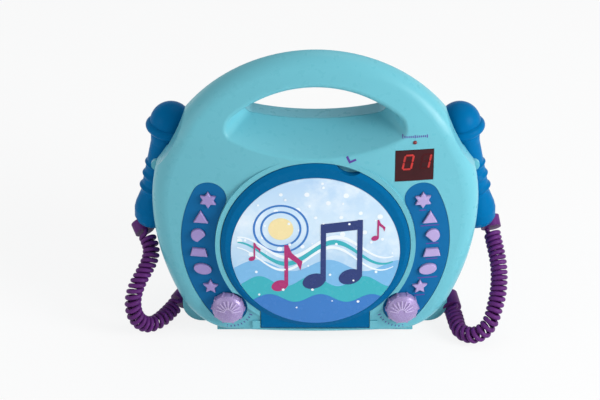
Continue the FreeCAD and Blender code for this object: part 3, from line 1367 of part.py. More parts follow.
def drive_motors():
    back = d.plate_thick - d.plate_front
    can = rod("spindle_can", d.motor_rad, d.motor_back - back, 0, back, d.disc_z)
    bore = rod("spindle_bore", d.spindle_rad + d.slide_fit, d.motor_back + d.plate_front, 0, -d.plate_front,
               d.disc_z)
    recess = rod("spindle_recess", d.hub_rad + d.fit, d.fit, 0, back, d.disc_z)
    finished("spindle_motor", cut("spindle_motor", can, bore, recess))
    start = d.bracket_y + d.bracket_thick
    motor = rod("sled_can", d.sled_motor_rad, d.sled_motor_long, PINION_X, start, GEAR_Z)
    hole = rod("sled_motor_bore", d.gear_post + d.slide_fit, d.wall, PINION_X, start, GEAR_Z)
    hollow = rod("sled_motor_hollow", d.sled_motor_rad - d.can_wall, d.sled_motor_long - 2 * d.can_wall,
                 PINION_X,
                 start + d.can_wall, GEAR_Z)
    finished("sled_motor", cut("sled_motor", motor, hole, hollow))
    seat, boss = d.seat_front, d.boss_front
    profile = [(0, -d.spindle_back), (d.spindle_rad, -d.spindle_back), (d.spindle_rad, d.hub_back),
               (d.hub_rad, d.hub_back),
               (d.hub_rad, seat - d.seat_thick), (d.seat_rad, seat - d.seat_thick), (d.seat_rad, seat),
               (d.boss_rad, seat),
               (d.boss_rad, boss - d.seat_thick), (d.boss_rad - d.seat_thick, boss), (0, boss)]
    finished("turntable", turned("turntable", profile, TO_FRONT, 0, 0, d.disc_z))
    mat = [(d.mat_in, seat), (d.seat_rad - d.fit, seat), (d.seat_rad - d.fit, seat + d.mat_thick),
           (d.mat_in, seat + d.mat_thick)]
    finished("turntable_mat", turned("turntable_mat", mat, TO_FRONT, 0, 0, d.disc_z))


# Back: speaker, batteries, jacks, screws and feet

# Speaker frame and cone: (radius as a share of speaker_rad, depth as a share of speaker_deep)
BASKET_SHARES = [(0.875, 0), (1, 0), (1, 0.08), (0.94, 0.08), (0.53, 0.62), (0.47, 0.62), (0.47, 1), (0, 1),
                 (0, 0.56), (0.5, 0.56), (0.875, 0.08)]
CONE_SHARES = [(0.865, 0.03), (0.865, 0.07), (0.3, 0.52), (0, 0.52), (0, 0.48), (0.29, 0.48)]


def scaled(shares, radius, length):
    return [(radius * across_share, length * along_share) for across_share, along_share in shares]


def speaker():
    seat = d.back_depth - d.wall
    for name, shares in (("speaker_basket", BASKET_SHARES), ("speaker_cone", CONE_SHARES)):
        profile = scaled(shares, d.speaker_rad, d.speaker_deep)
        finished(name, turned(name, profile, TO_FRONT, 0, seat, d.grille_z))
    lip = rod("grille_lip", d.grille_rad, d.lip_thick, 0, d.back_depth, d.grille_z, TO_FRONT)
    plug_rad = d.grille_rad - d.grille_lip
    plug = rod("grille_plug", plug_rad, d.grille_thick, 0, d.back_depth, d.grille_z, TO_FRONT)
    slits = []
    count = int(float(plug_rad) / n.slit_pitch)
    for row in range(-count, count + 1):
        height = row * d.slit_pitch
        half = math.sqrt(float(plug_rad - d.slit_wide) ** 2 - float(height) ** 2)
        middle = d.grille_z + height
        slits.append(block(f"slit_{row + count}", (-half, half),
                           (d.back_depth - d.overrun, d.back_depth + d.overrun),
                           (middle - d.slit_wide / 2, middle + d.slit_wide / 2)))
    openings = grouped("grille_slits", *slits)
    finished("speaker_grille", cut("speaker_grille", fused("grille_disc", lip, plug), openings))


def bay_block(name, grow, front, back):
    half = d.bay_half + grow
    return block(name, (-half, half), (front, back), (d.bay_low - grow, d.bay_low + d.bay_high + grow))


def batteries():
    seat = d.back_depth - d.door_thick
    floor = seat - d.bay_deep
    outer = bay_block("bay_outer", d.bay_wall, floor - d.bay_wall, seat)
    inner = bay_block("bay_inner", 0, floor, seat + d.fit)
    middle = d.bay_low + d.bay_high / 2
    rib = block("bay_rib", (-d.bay_half, d.bay_half), (floor, floor + d.spring_rad),
                (middle - d.bay_wall / 2, middle + d.bay_wall / 2))
    finished("battery_box", fused("battery_box", cut("bay_tray", outer, inner), rib))
    contacts = []
    for side in (-1, 1):
        for row in (-1, 1):
            name = f"contact_{side + 1}_{row + 1}"
            height = middle + row * d.bay_high / 4
            depth = floor + d.bay_deep / 2
            wall_x = side * d.bay_half
            plate_x = sorted((wall_x, wall_x - side * d.contact_thick), key=float)
            plate = block(f"{name}_plate", plate_x, (depth - d.contact_half, depth + d.contact_half),
                          (height - d.contact_half, height + d.contact_half))
            turn = TO_RIGHT if side < 0 else TO_LEFT
            coil = rod(f"{name}_coil", d.spring_rad, d.spring_long, wall_x, depth, height, turn)
            contacts.append(fused(name, plate, coil))
    finished("battery_contacts", grouped("battery_contacts", *contacts))
    edge = d.door_border - d.fit
    door = bay_block("door_plate", edge, seat + d.slide_fit, d.back_depth)
    lips = [block(f"door_lip_{count}", (-d.bay_half / 2, d.bay_half / 2),
                  (seat - d.door_thick, seat + d.door_thick / 2),
                  (z, z + d.bay_wall))
                  for count, z in enumerate((d.bay_low + d.fit, d.bay_low + d.bay_high - d.bay_wall - d.fit))]
    groove = rod("door_groove", d.door_grip_rad, d.door_grip_wide, -d.door_grip_wide / 2,
                 d.back_depth + d.door_grip_rad - d.bay_wall,
                 d.bay_low + d.bay_high - d.door_grip_rad, TO_RIGHT)
    finished("battery_door", cut("battery_door", fused("door_block", door, *lips), groove))


def jacks():
    depth = d.jack_long
    phone = rod("phone_body", d.jack_rad, depth, -d.jack_x, d.back_depth, d.jack_z, TO_FRONT)
    phone_bore = rod("phone_bore", d.phone_bore, depth - d.wall, -d.jack_x, d.back_depth, d.jack_z, TO_FRONT)
    finished("headphone_jack", cut("headphone_jack", phone, phone_bore))
    supply = rod("supply_body", d.jack_rad, depth, d.jack_x, d.back_depth, d.jack_z, TO_FRONT)
    supply_bore = rod("supply_bore", d.supply_bore, depth - d.wall, d.jack_x, d.back_depth, d.jack_z,
                      TO_FRONT)
    pin = rod("supply_pin", d.supply_pin, depth - d.wall, d.jack_x, d.back_depth - d.wall, d.jack_z, TO_FRONT)
    finished("dc_jack", fused("dc_jack", cut("supply_socket", supply, supply_bore), pin))


def fasteners_and_feet():
    screws = []
    profile = [(0, -d.screw_long), (d.screw_rad, -d.screw_long), (d.screw_rad, 0), (d.screw_head, 0),
               (d.screw_head, d.screw_head_high / 2), (d.screw_rad, d.screw_head_high),
               (0, d.screw_head_high)]
    for count, (x, z) in enumerate(SCREW_SPOTS):
        screws.append(turned(f"screw_{count}", profile, TO_BACK, x, d.screw_seat, z))
    finished("shell_screws", grouped("shell_screws", *screws))
    feet = [rod(f"foot_{count}", d.foot_rad, d.base_z + d.foot_sink, x, y, 0, UP)
            for count, (x, y) in enumerate(FOOT_SPOTS)]
    finished("rubber_feet", grouped("rubber_feet", *feet))


# Microphones

def collar_solid(side, grow):
    tip, outward = route_end(ROUTES[side], True)
    return Part.makeCylinder(n.collar_rad + grow, n.collar_long, tip, outward)


def microphone(side):
    stem = f"{SIDE_NAMES[side]}_mic"
    place = mic_frame(side)
    spot, turn = place.Base, place.Rotation

    def set_in(name, obj):
        finished(name, put(obj, spot.x, d.mic_y, spot.z, turn))

    def ball(name):
        sphere = doc.addObject("Part::Sphere", name)
        bind(sphere, "Radius", d.head_rad)
        return put(sphere, 0, 0, d.head_up)

    profile = [(d.grip_rad * wide, d.head_up * up) for up, wide in HANDLE_SHARES]
    profile.append((0, profile[-1][1]))
    socket = collar_solid(side, n.slide_fit)
    socket.Placement = place.inverse().multiply(socket.Placement)
    handle = cut(f"{stem}_handle", turned(f"{stem}_grip", profile), ball(f"{stem}_seat"),
                 shaped(f"{stem}_socket", socket))
    torus = doc.addObject("Part::Torus", f"{stem}_torus")
    bind(torus, "Radius1", d.ring_rad - d.ring_half)
    bind(torus, "Radius2", d.ring_half)
    put(torus, 0, 0, d.ring_up)
    ring = cut(f"{stem}_ring", torus, ball(f"{stem}_ring_seat"), turned(f"{stem}_ring_bore", profile))
    set_in(f"{stem}_handle", handle)
    set_in(f"{stem}_ring", ring)
    set_in(f"{stem}_head", fused(f"{stem}_head", ball(f"{stem}_ball"), ball(f"{stem}_ball_inner")))
    finished(f"{stem}_collar", shaped(f"{stem}_collar", collar_solid(side, 0)))
    clip_out = d.clip_in + d.clip_thick
    low, high = d.clip_up - d.clip_half, d.clip_up + d.clip_half
    root = block(f"{stem}_clip_root", (-clip_out, -d.clip_in), (-clip_out, clip_out), (low, high))
    prongs = []
    for front in (-1, 1):
        limits = sorted((front * d.clip_in, front * clip_out), key=float)
        end = d.clip_reach - d.clip_half
        prongs.append(block(f"{stem}_prong_{front + 1}", (-clip_out, end), limits, (low, high)))
        prongs.append(rod(f"{stem}_prong_tip_{front + 1}", d.clip_half, d.clip_thick, end, limits[0],
                          d.clip_up))
    set_in(f"{stem}_clip", fused(f"{stem}_clip", root, *prongs))
    gland = f"{SIDE_NAMES[side]}_cord_gland"
    finished(gland, shaped(gland, gland_socket(ROUTES[side], 0)))


# Curly cords

ROUTE_STEPS = 900
GAP_STEPS = 12


def rounded_route(route):
    """Straight runs joined by tangent arcs, each arc as large as its two runs allow."""
    corners = [Vector(*spot) for spot in route]
    edges = []
    start = corners[0]
    for before, corner, after in zip(corners, corners[1:], corners[2:]):
        back, ahead = before - corner, after - corner
        reach = BEND_SHARE * min(back.Length, ahead.Length)
        radius = reach / math.tan((math.pi - back.getAngle(ahead)) / 2)
        back.normalize()
        ahead.normalize()
        first, last = corner + back * reach, corner + ahead * reach
        inward = (back + ahead).normalize()
        middle = corner + inward * (math.hypot(radius, reach) - radius)
        edges += [line(start, first), Part.Arc(first, middle, last).toShape()]
        start = last
    edges.append(line(start, corners[-1]))
    return Part.Wire(edges)


class CurlPath:
    """A helix about a route: its turns open up where the route bends."""

    def __init__(self, route):
        wire = rounded_route(route)
        self.spots = wire.discretize(Number=ROUTE_STEPS + 1)
        self.step = wire.Length / ROUTE_STEPS
        self.length = wire.Length
        self.ways = [(after - before).normalize() for before, after in zip(self.spots, self.spots[1:])]
        self.ways.append(self.ways[-1])
        side = self.ways[0].cross(Vector(1, 0, 0)).normalize()
        self.sides = []
        for way in self.ways:
            side = (side - way * side.dot(way)).normalize()
            self.sides.append(side)
        closest = 2 * n.wire_rad + n.curl_gap
        self.first, self.last = n.curl_lead, self.length - n.curl_lead
        bends = [before.getAngle(after) / self.step for before, after in zip(self.ways, self.ways[1:])]
        reach = int(closest / self.step)
        angle = 0.0
        self.angles = []
        for index in range(ROUTE_STEPS + 1):
            if self.first <= index * self.step <= self.last:
                bend = max(bends[max(index - reach, 0):index + reach])
                angle += 2 * math.pi * self.step * (1 - n.coil_rad * bend) / closest
            self.angles.append(angle)
        self.half_turns = int(angle / math.pi)
        spread = self.half_turns * math.pi / angle
        self.angles = [angle * spread for angle in self.angles]

    def blended(self, values, along):
        place = min(max(along / self.step, 0), ROUTE_STEPS)
        index = min(int(place), ROUTE_STEPS - 1)
        return values[index] + (values[index + 1] - values[index]) * (place - index)

    def along_at(self, angle):
        """Length along the route at which the helix has turned by an angle."""
        index = next(count for count, value in enumerate(self.angles)
                     if value >= angle or count == ROUTE_STEPS)
        before, after = self.angles[index - 1], self.angles[index]
        return (index - 1 + (angle - before) / (after - before)) * self.step

    def spot(self, along, turn=0.0):
        way = self.blended(self.ways, along).normalize()
        side = self.blended(self.sides, along)
        angle = self.blended(self.angles, along) + math.radians(turn)
        outward = side * math.cos(angle) + way.cross(side) * math.sin(angle)
        return self.blended(self.spots, along) + outward * n.coil_rad

    def knots(self):
        """Points and directions of the cord: its straight ends, then each half turn of the helix."""
        yield self.spot(0, -n.lead_turn) + self.ways[0] * n.fit, self.ways[0]
        for count in range(self.half_turns + 1):
            along = min(max(self.along_at(count * math.pi), self.first), self.last) if count else self.first
            ahead = self.spot(along + self.step) - self.spot(along - self.step)
            yield self.spot(along), ahead.normalize()
        yield self.spot(self.length, n.lead_turn) - self.ways[-1] * n.fit, self.ways[-1]


def biarc(start, start_way, end, end_way):
    """Two arcs that leave one point and reach another in the given directions."""
    chord = end - start
    both = start_way + end_way
    square = 2 * (1 - start_way.dot(end_way))
    linear = chord.dot(both)
    if square < n.slide_fit ** 2:
        reach = chord.dot(chord) / (4 * chord.dot(end_way))
    else:
        reach = (-linear + math.sqrt(linear ** 2 + square * chord.dot(chord))) / square
    first, last = start + start_way * reach, end - end_way * reach
    joint = (first + last) / 2
    arcs = []
    for begin, corner, finish in ((start, first, joint), (joint, last, end)):
        to_corner = corner - (begin + finish) / 2
        half_chord = (finish - begin).Length / 2
        rise = to_corner.Length * half_chord / (half_chord + (corner - begin).Length)
        arcs.append(Part.Arc(begin, (begin + finish) / 2 + to_corner.normalize() * rise, finish).toShape())
    return arcs


def least_gap(edges, apart):
    """Least gap between stretches of a tube that are further apart along it than the given length."""
    spots = []
    along = 0.0
    for edge in edges:
        for count, spot in enumerate(edge.discretize(Number=GAP_STEPS + 1)[:-1]):
            spots.append((along + edge.Length * count / GAP_STEPS, spot))
        along += edge.Length
    cells = {}
    cell = 2 * n.wire_rad + 2 * n.curl_gap
    least = cell
    for along, spot in spots:
        key = tuple(math.floor(value / cell) for value in spot)
        for shift in range(27):
            near = (key[0] + shift % 3 - 1, key[1] + shift // 3 % 3 - 1, key[2] + shift // 9 - 1)
            for other_along, other in cells.get(near, ()):
                if along - other_along > apart:
                    least = min(least, spot.distanceToPoint(other))
        cells.setdefault(key, []).append((along, spot))
    return least - 2 * n.wire_rad


def curly_cord(side):
    name = f"{SIDE_NAMES[side]}_mic_cord"
    path = CurlPath(ROUTES[side])
    knots = list(path.knots())
    (first, first_way), (last, last_way) = knots[0], knots[-1]
    edges = [line(first - first_way * n.fit, first)]
    for (start, start_way), (end, end_way) in zip(knots, knots[1:]):
        edges += biarc(start, start_way, end, end_way)
    edges.append(line(last, last + last_way * n.fit))
    wire = Part.Wire(edges)
    tightest = min(edge.Curve.Radius for edge in edges[1:-1])
    gap = least_gap(edges, math.pi * n.coil_rad / 2)
    print(f"{name}: {path.half_turns / 2} curls, least gap {gap:.2f}, tightest bend {tightest:.2f}")
    print(f"{name}: route {path.length:.1f}, wire {wire.Length:.1f}")
    shell = Part.BRepOffsetAPI.MakePipeShell(wire)
    shell.add(Part.Wire(Part.makeCircle(n.wire_rad, first - first_way * n.fit, first_way)))
    shell.build()
    shell.makeSolid()
    tube = shell.shape()
    share = tube.Volume / (math.pi * n.wire_rad ** 2 * wire.Length)
    print(f"{name}: volume {share:.3f} of section times length")
    finished(name, shaped(name, tube))


# Assembly

for build in (front_shell, rear_shell, cd_lid, lid_picture, panels, keys, left_ornaments, knobs, display,
              boards, disc_deck, sled, drive_gears, mech_chassis, drive_motors, speaker, batteries, jacks,
              fasteners_and_feet):
    build()
for hand in SIDE_NAMES:
    microphone(hand)
    curly_cord(hand)
doc.recompute()

for obj in doc.Objects:
    if "Invalid" in obj.State or "Error" in obj.State:
        raise RuntimeError(f"{obj.Name}: {obj.State}")
os.makedirs("parts", exist_ok=True)
for obj in parts:
    if obj.Shape.isNull() or not obj.Shape.isValid() or not obj.Shape.Solids:
        raise RuntimeError(f"{obj.Label}: shape is not valid")
    obj.Shape.exportStep(f"parts/{obj.Label}.step")
print(f"{len(parts)} sub-parts")
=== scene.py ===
import math

import bmesh
import bpy
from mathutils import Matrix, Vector
from mathutils.geometry import interpolate_bezier


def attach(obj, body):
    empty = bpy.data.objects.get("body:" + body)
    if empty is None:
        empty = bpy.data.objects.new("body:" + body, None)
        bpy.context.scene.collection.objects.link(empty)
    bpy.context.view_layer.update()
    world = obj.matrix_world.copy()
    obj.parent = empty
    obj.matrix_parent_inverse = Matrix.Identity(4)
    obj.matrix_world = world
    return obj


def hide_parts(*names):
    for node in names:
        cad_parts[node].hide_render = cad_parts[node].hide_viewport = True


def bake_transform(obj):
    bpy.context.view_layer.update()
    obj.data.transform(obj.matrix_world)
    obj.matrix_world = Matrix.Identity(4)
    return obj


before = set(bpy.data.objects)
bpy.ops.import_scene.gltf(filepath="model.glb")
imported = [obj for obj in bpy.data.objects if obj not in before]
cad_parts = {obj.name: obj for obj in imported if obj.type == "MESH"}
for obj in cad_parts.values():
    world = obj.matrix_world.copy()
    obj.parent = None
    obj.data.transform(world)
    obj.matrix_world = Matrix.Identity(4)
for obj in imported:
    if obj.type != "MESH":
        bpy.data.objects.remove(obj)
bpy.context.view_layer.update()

FULL_TURN = 2 * math.pi
SIDES = {"left": -1, "right": 1}
KEYS = ("six_point_key", "triangle_key", "pick_key", "trapeze_key", "oval_key", "five_point_key")
KNOBS = {"volume_knob": 1, "mic_volume_knob": -1}

# Place of the seam between the two shells, from front to back
SEAM_Y = -0.0139


def middle_of(name):
    """Place across and height of the middle of a CAD node."""
    corners = [Vector(corner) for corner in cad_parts[name].bound_box]
    middle = sum(corners, Vector()) / len(corners)
    return middle.x, middle.z


# Colours and materials

# Range that holds most values of a noise
NOISE_LOW, NOISE_HIGH = 0.3, 0.7


def colour(red, green, blue):
    """Linear colour from the usual 0 to 255 screen values."""
    def linear(value):
        share = value / 255
        return share / 12.92 if share <= 0.04045 else ((share + 0.055) / 1.055) ** 2.4
    return (linear(red), linear(green), linear(blue), 1.0)


def shaded(tone, factor):
    """A colour made lighter or darker."""
    return tuple(min(value * factor, 1.0) for value in tone[:3]) + (1.0,)


class Shader:
    """A material with its node tree and a few short ways to add to it."""

    def __init__(self, name):
        self.material = bpy.data.materials.new(name)
        self.material.use_nodes = True
        self.tree = self.material.node_tree
        self.surface = self.tree.nodes["Principled BSDF"]
        self.coordinates = self.node("ShaderNodeTexCoord").outputs["Object"]

    def node(self, kind, **settings):
        made = self.tree.nodes.new(kind)
        for name, value in settings.items():
            setattr(made, name, value)
        return made

    def link(self, start, end):
        self.tree.links.new(start, end)

    def set(self, **values):
        for name, value in values.items():
            self.surface.inputs[name.replace("_", " ")].default_value = value

    def noise(self, scale, detail=2.0, roughness=0.5):
        made = self.node("ShaderNodeTexNoise")
        made.inputs["Scale"].default_value = scale
        made.inputs["Detail"].default_value = detail
        made.inputs["Roughness"].default_value = roughness
        self.link(self.coordinates, made.inputs["Vector"])
        return made.outputs["Fac"]

    def ramp(self, value, *stops):
        made = self.node("ShaderNodeValToRGB")
        bar = made.color_ramp.elements
        while len(bar) < len(stops):
            bar.new(1.0)
        for element, (place, shade) in zip(bar, stops):
            element.position = place
            element.color = shade
        self.link(value, made.inputs["Fac"])
        return made.outputs["Color"]

    def tones(self, value, tone, dark, light, start=NOISE_LOW, end=NOISE_HIGH):
        """Colour that runs from a darker to a lighter shade of a tone."""
        return self.ramp(value, (start, shaded(tone, dark)), (end, shaded(tone, light)))

    def spread(self, value, low, high, start=NOISE_LOW, end=NOISE_HIGH):
        """A range of values brought to another range."""
        made = self.node("ShaderNodeMapRange")
        for name, number in (("From Min", start), ("From Max", end), ("To Min", low), ("To Max", high)):
            made.inputs[name].default_value = number
        self.link(value, made.inputs["Value"])
        return made.outputs["Result"]

    def mix(self, share, first, second):
        made = self.node("ShaderNodeMix", data_type="RGBA")
        sockets = [socket for socket in made.inputs if socket.type == "RGBA"]
        for socket, value in zip(sockets, (first, second)):
            if isinstance(value, tuple):
                socket.default_value = value
            else:
                self.link(value, socket)
        self.link(share, made.inputs["Factor"])
        return next(socket for socket in made.outputs if socket.type == "RGBA")

    def bump(self, height, depth, strength):
        made = self.node("ShaderNodeBump")
        made.inputs["Distance"].default_value = depth
        made.inputs["Strength"].default_value = strength
        self.link(height, made.inputs["Height"])
        self.link(made.outputs["Normal"], self.surface.inputs["Normal"])

    def paint(self, value):
        self.link(value, self.surface.inputs["Base Color"])

    def dull(self, value):
        self.link(value, self.surface.inputs["Roughness"])

    def glow(self, value):
        self.link(value, self.surface.inputs["Emission Color"])


def moulded(name, tone, gloss=0.28, coat=0.0, variation=0.03, texture=0.1, shine=0.25):
    """Moulded plastic: slight flow marks in the colour, uneven gloss and a fine orange peel."""
    made = Shader(name)
    flow = made.noise(scale=9, detail=2)
    made.paint(made.tones(flow, tone, dark=1 - variation, light=1 + variation))
    made.dull(made.spread(made.noise(scale=160, detail=3), low=gloss - 0.05, high=gloss + 0.07))
    made.bump(made.noise(scale=900, detail=2), depth=0.0002, strength=texture)
    made.set(Coat_Weight=coat, Coat_Roughness=0.12, Specular_IOR_Level=shine)
    return made.material


def pearl(name, tone, glint):
    """Pearly plastic: fine bright flakes in the colour under a clear coat."""
    made = Shader(name)
    flakes = made.noise(scale=1500, detail=1)
    swirl = made.noise(scale=70, detail=3)
    base = made.tones(swirl, tone, dark=0.93, light=1.06, start=0.35, end=0.65)
    made.paint(made.mix(made.spread(flakes, low=0.0, high=0.45, start=0.55, end=0.72), base, glint))
    made.dull(made.spread(flakes, low=0.24, high=0.36))
    made.bump(flakes, depth=0.0001, strength=0.12)
    made.set(Coat_Weight=0.2, Coat_Roughness=0.1, Metallic=0.1, Specular_IOR_Level=0.3)
    return made.material


def sleeve(name, tone):
    """Soft satin cord sleeve with a fine grain, a little uneven in colour."""
    made = Shader(name)
    made.paint(made.tones(made.noise(scale=120, detail=4), tone, dark=0.85, light=1.15))
    made.dull(made.spread(made.noise(scale=500), low=0.36, high=0.5))
    made.bump(made.noise(scale=1800), depth=0.0002, strength=0.2)
    made.set(Specular_IOR_Level=0.12)
    return made.material


def metal(name, tone, gloss, stretch=0.1):
    """Drawn or pressed metal with fine lines along X."""
    made = Shader(name)
    mapping = made.node("ShaderNodeMapping")
    mapping.inputs["Scale"].default_value = (stretch, 1.0, 1.0)
    made.link(made.coordinates, mapping.inputs["Vector"])
    made.coordinates = mapping.outputs["Vector"]
    lines = made.noise(scale=900, detail=3)
    made.paint(made.tones(lines, tone, dark=0.88, light=1.08))
    made.dull(made.spread(lines, low=gloss - 0.06, high=gloss + 0.08))
    made.bump(lines, depth=0.0001, strength=0.15)
    made.set(Metallic=1.0)
    return made.material


def tinted_window(name, tone):
    """Dark red display window: deep colour, very smooth."""
    made = Shader(name)
    made.paint(made.tones(made.noise(scale=60, detail=2), tone, dark=0.8, light=1.2))
    made.dull(made.spread(made.noise(scale=300), low=0.05, high=0.12))
    made.set(Coat_Weight=0.1, Coat_Roughness=0.04, Specular_IOR_Level=0.15)
    return made.material


def lit(name, tone, strength):
    """Lit segments and lamps, a little uneven from edge to edge."""
    made = Shader(name)
    patches = made.noise(scale=220, detail=1)
    made.paint(made.tones(patches, tone, dark=0.8, light=1.1))
    made.glow(made.tones(patches, tone, dark=0.85, light=1.0))
    made.set(Emission_Strength=strength, Roughness=0.3)
    return made.material


# Heights that the sky of the lid's picture runs between, and its colours from below
SKY_LOW, SKY_HIGH = 0.020, 0.147
SKY_STOPS = (
    (0.0, colour(118, 170, 216)),
    (0.35, colour(168, 206, 236)),
    (0.7, colour(208, 230, 246)),
    (1.0, colour(176, 210, 240)),
)
HAZE_COLOUR = colour(236, 245, 252)


def picture_ground(name):
    """Printed ground of the lid's picture: a pale sky that deepens downwards, with soft haze."""
    made = Shader(name)
    split = made.node("ShaderNodeSeparateXYZ")
    made.link(made.coordinates, split.inputs["Vector"])
    height = made.spread(split.outputs["Z"], low=0.0, high=1.0, start=SKY_LOW, end=SKY_HIGH)
    clouds = made.noise(scale=34, detail=6, roughness=0.6)
    haze = made.spread(clouds, low=0.0, high=0.8, start=0.46, end=0.66)
    made.paint(made.mix(haze, made.ramp(height, *SKY_STOPS), HAZE_COLOUR))
    made.dull(made.spread(made.noise(scale=200), low=0.16, high=0.26))
    made.bump(made.noise(scale=1200), depth=0.0001, strength=0.06)
    made.set(Coat_Weight=0.5, Coat_Roughness=0.08)
    return made.material


def ink(name, tone):
    """One colour of the lid's picture, under its clear varnish."""
    return moulded(f"print {name}", tone, gloss=0.24, coat=0.3)


AQUA = moulded("aqua plastic", colour(106, 184, 198), gloss=0.3, variation=0.015, texture=0.02)
LID_BLUE = moulded("lid blue", colour(0, 98, 150), gloss=0.26, shine=0.05)
PANEL_BLUE = moulded("panel blue", colour(16, 102, 156), gloss=0.36, shine=0.08)
MIC_BLUE = moulded("microphone blue", colour(0, 104, 160), gloss=0.34, shine=0.03)
LILAC = moulded("lilac keys", colour(176, 158, 206), gloss=0.32)
LILAC_DEEP = moulded("lilac ornaments", colour(160, 142, 198), gloss=0.34)
KNOB = pearl("pearly lilac", colour(160, 140, 190), glint=colour(200, 188, 218))
# Lighter pearl for the knob ridges: the lighter colour is a painted highlight, as the ridges catch more
# light than the dome around them
RIDGE_WITH_PAINTED_HIGHLIGHT = pearl("pearly ridges with painted highlight", colour(190, 172, 214), glint=colour(222, 212, 234))
CLIP = moulded("clip aqua", colour(110, 190, 204), gloss=0.3, variation=0.015)
CORD = sleeve("cord purple", colour(92, 40, 108))
BLACK = moulded("black plastic", colour(26, 26, 28), gloss=0.5, variation=0.12, texture=0.3)
GREY = moulded("grey plastic", colour(140, 144, 150), gloss=0.45, texture=0.3)
BOARD = moulded("board lacquer", colour(28, 92, 48), gloss=0.3, coat=0.3, variation=0.12)
RUBBER = moulded("black rubber", colour(34, 34, 35), gloss=0.62, variation=0.15, texture=0.35)
PAPER = moulded("paper cone", colour(46, 46, 48), gloss=0.8, variation=0.2, texture=0.6)
STEEL = metal("steel", colour(176, 178, 182), gloss=0.32)
BRASS = metal("plated brass", colour(206, 184, 120), gloss=0.28)
WINDOW = tinted_window("display window", colour(62, 18, 24))
RED = lit("lit segments", colour(176, 30, 26), strength=0.22)
DIM = moulded("unlit segments", colour(70, 20, 25), gloss=0.2, shine=0.1)
LAMP = lit("programme lamp", colour(120, 10, 20), strength=0.05)
PRINT = moulded("purple print", colour(88, 62, 150), gloss=0.4)
GROUND = picture_ground("picture ground")
TEAL = ink("teal", colour(56, 178, 190))
SKY = ink("sky", colour(124, 186, 230))
MIDDLE_BLUE = ink("blue", colour(54, 122, 196))
NAVY = ink("navy", colour(34, 54, 116))
MAGENTA = ink("magenta", colour(176, 40, 112))
CREAM = ink("cream", colour(246, 226, 168))
WHITE = ink("white", colour(240, 247, 252))

NODE_MATERIALS = {
    AQUA: ("front_shell", "rear_shell", "battery_door"),
    LID_BLUE: ("cd_lid",),
    GROUND: ("lid_picture",),
    PANEL_BLUE: ("left_panel", "right_panel"),
    LILAC: KEYS,
    LILAC_DEEP: ("left_ornaments",),
    KNOB: KNOBS,
    MIC_BLUE: [f"{side}_mic_{piece}" for side in SIDES for piece in ("handle", "ring", "head")],
    CORD: [f"{side}_{piece}" for side in SIDES for piece in ("mic_collar", "cord_gland")],
    CLIP: [f"{side}_mic_clip" for side in SIDES],
    WINDOW: ("display_window",),
    LAMP: ("program_led",),
    BLACK: ("display_module", "volume_pot", "mic_volume_pot", "key_switches", "battery_box", "dc_jack",
            "headphone_jack", "laser_sled", "sled_gear", "disc_deck"),
    GREY: ("turntable", "speaker_grille"),
    BOARD: ("key_board", "main_board"),
    STEEL: ("motor_pinion", "mech_chassis", "guide_rods", "spindle_motor", "sled_motor", "speaker_basket",
            "shell_screws", "laser_lens"),
    BRASS: ("battery_contacts",),
    RUBBER: ("mech_dampers", "turntable_mat", "rubber_feet"),
    PAPER: ("speaker_cone",),
}


def dress(piece, material):
    piece.data.materials.clear()
    piece.data.materials.append(material)


for material, names in NODE_MATERIALS.items():
    for name in names:
        dress(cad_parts[name], material)


# Camera, light and floor

FOCAL, SENSOR_WIDTH = 135.0, 36.0
CAMERA_REACH = 1.71
CAMERA_RISE = math.radians(30)
CAMERA_AIM = Vector((-0.0116, SEAM_Y, 0.1106))

# Place, width in metres and power in watts of each lamp
LAMPS = {
    "key": (Vector((1.35, -0.75, 0.75)), 0.9, 25),
    "fill": (Vector((-1.3, -0.6, 0.45)), 1.2, 5),
    "top": (Vector((0.3, 0.35, 1.4)), 0.9, 2.4),
}
LAMP_AIM = Vector((0, 0, 0.12))
AIR_COLOUR, AIR_STRENGTH = (0.92, 0.96, 1.0, 1.0), 0.38
SEEN_COLOUR = (1.0, 1.0, 1.0, 1.0)
FLOOR_SIZE = 30
FLOOR_PAINT, FLOOR_ROUGHNESS = (0.9, 0.9, 0.9, 1.0), 0.9
FLOOR_WHITE_SHARE = 0.86


def put_up(name, data, place, way):
    """An object for a camera or lamp at a place, looking one way."""
    made = bpy.data.objects.new(name, data)
    made.location = place
    made.rotation_euler = way.to_track_quat("-Z", "Y").to_euler()
    bpy.context.scene.collection.objects.link(made)
    return made


def camera():
    data = bpy.data.cameras.new("photo_camera")
    data.lens = FOCAL
    data.sensor_width = SENSOR_WIDTH
    away = Vector((0, -math.cos(CAMERA_RISE), math.sin(CAMERA_RISE)))
    bpy.context.scene.camera = put_up("photo_camera", data, CAMERA_AIM + away * CAMERA_REACH, -away)


def softboxes():
    for name, (place, width, power) in LAMPS.items():
        data = bpy.data.lights.new(name, "AREA")
        data.shape = "DISK"
        data.size = width
        data.energy = power
        put_up(name, data, place, LAMP_AIM - place)


def seen_white(tree, plain, bright):
    """Shows a bright surface to the camera and in reflections, and the plain one to light."""
    paths = tree.nodes.new("ShaderNodeLightPath")
    seen = paths.outputs["Is Camera Ray"]
    for name in ("Is Glossy Ray", "Is Transmission Ray"):
        either = tree.nodes.new("ShaderNodeMath")
        either.operation = "MAXIMUM"
        tree.links.new(seen, either.inputs[0])
        tree.links.new(paths.outputs[name], either.inputs[1])
        seen = either.outputs[0]
    mixed = tree.nodes.new("ShaderNodeMixShader")
    tree.links.new(seen, mixed.inputs[0])
    tree.links.new(plain, mixed.inputs[1])
    tree.links.new(bright, mixed.inputs[2])
    return mixed.outputs[0]


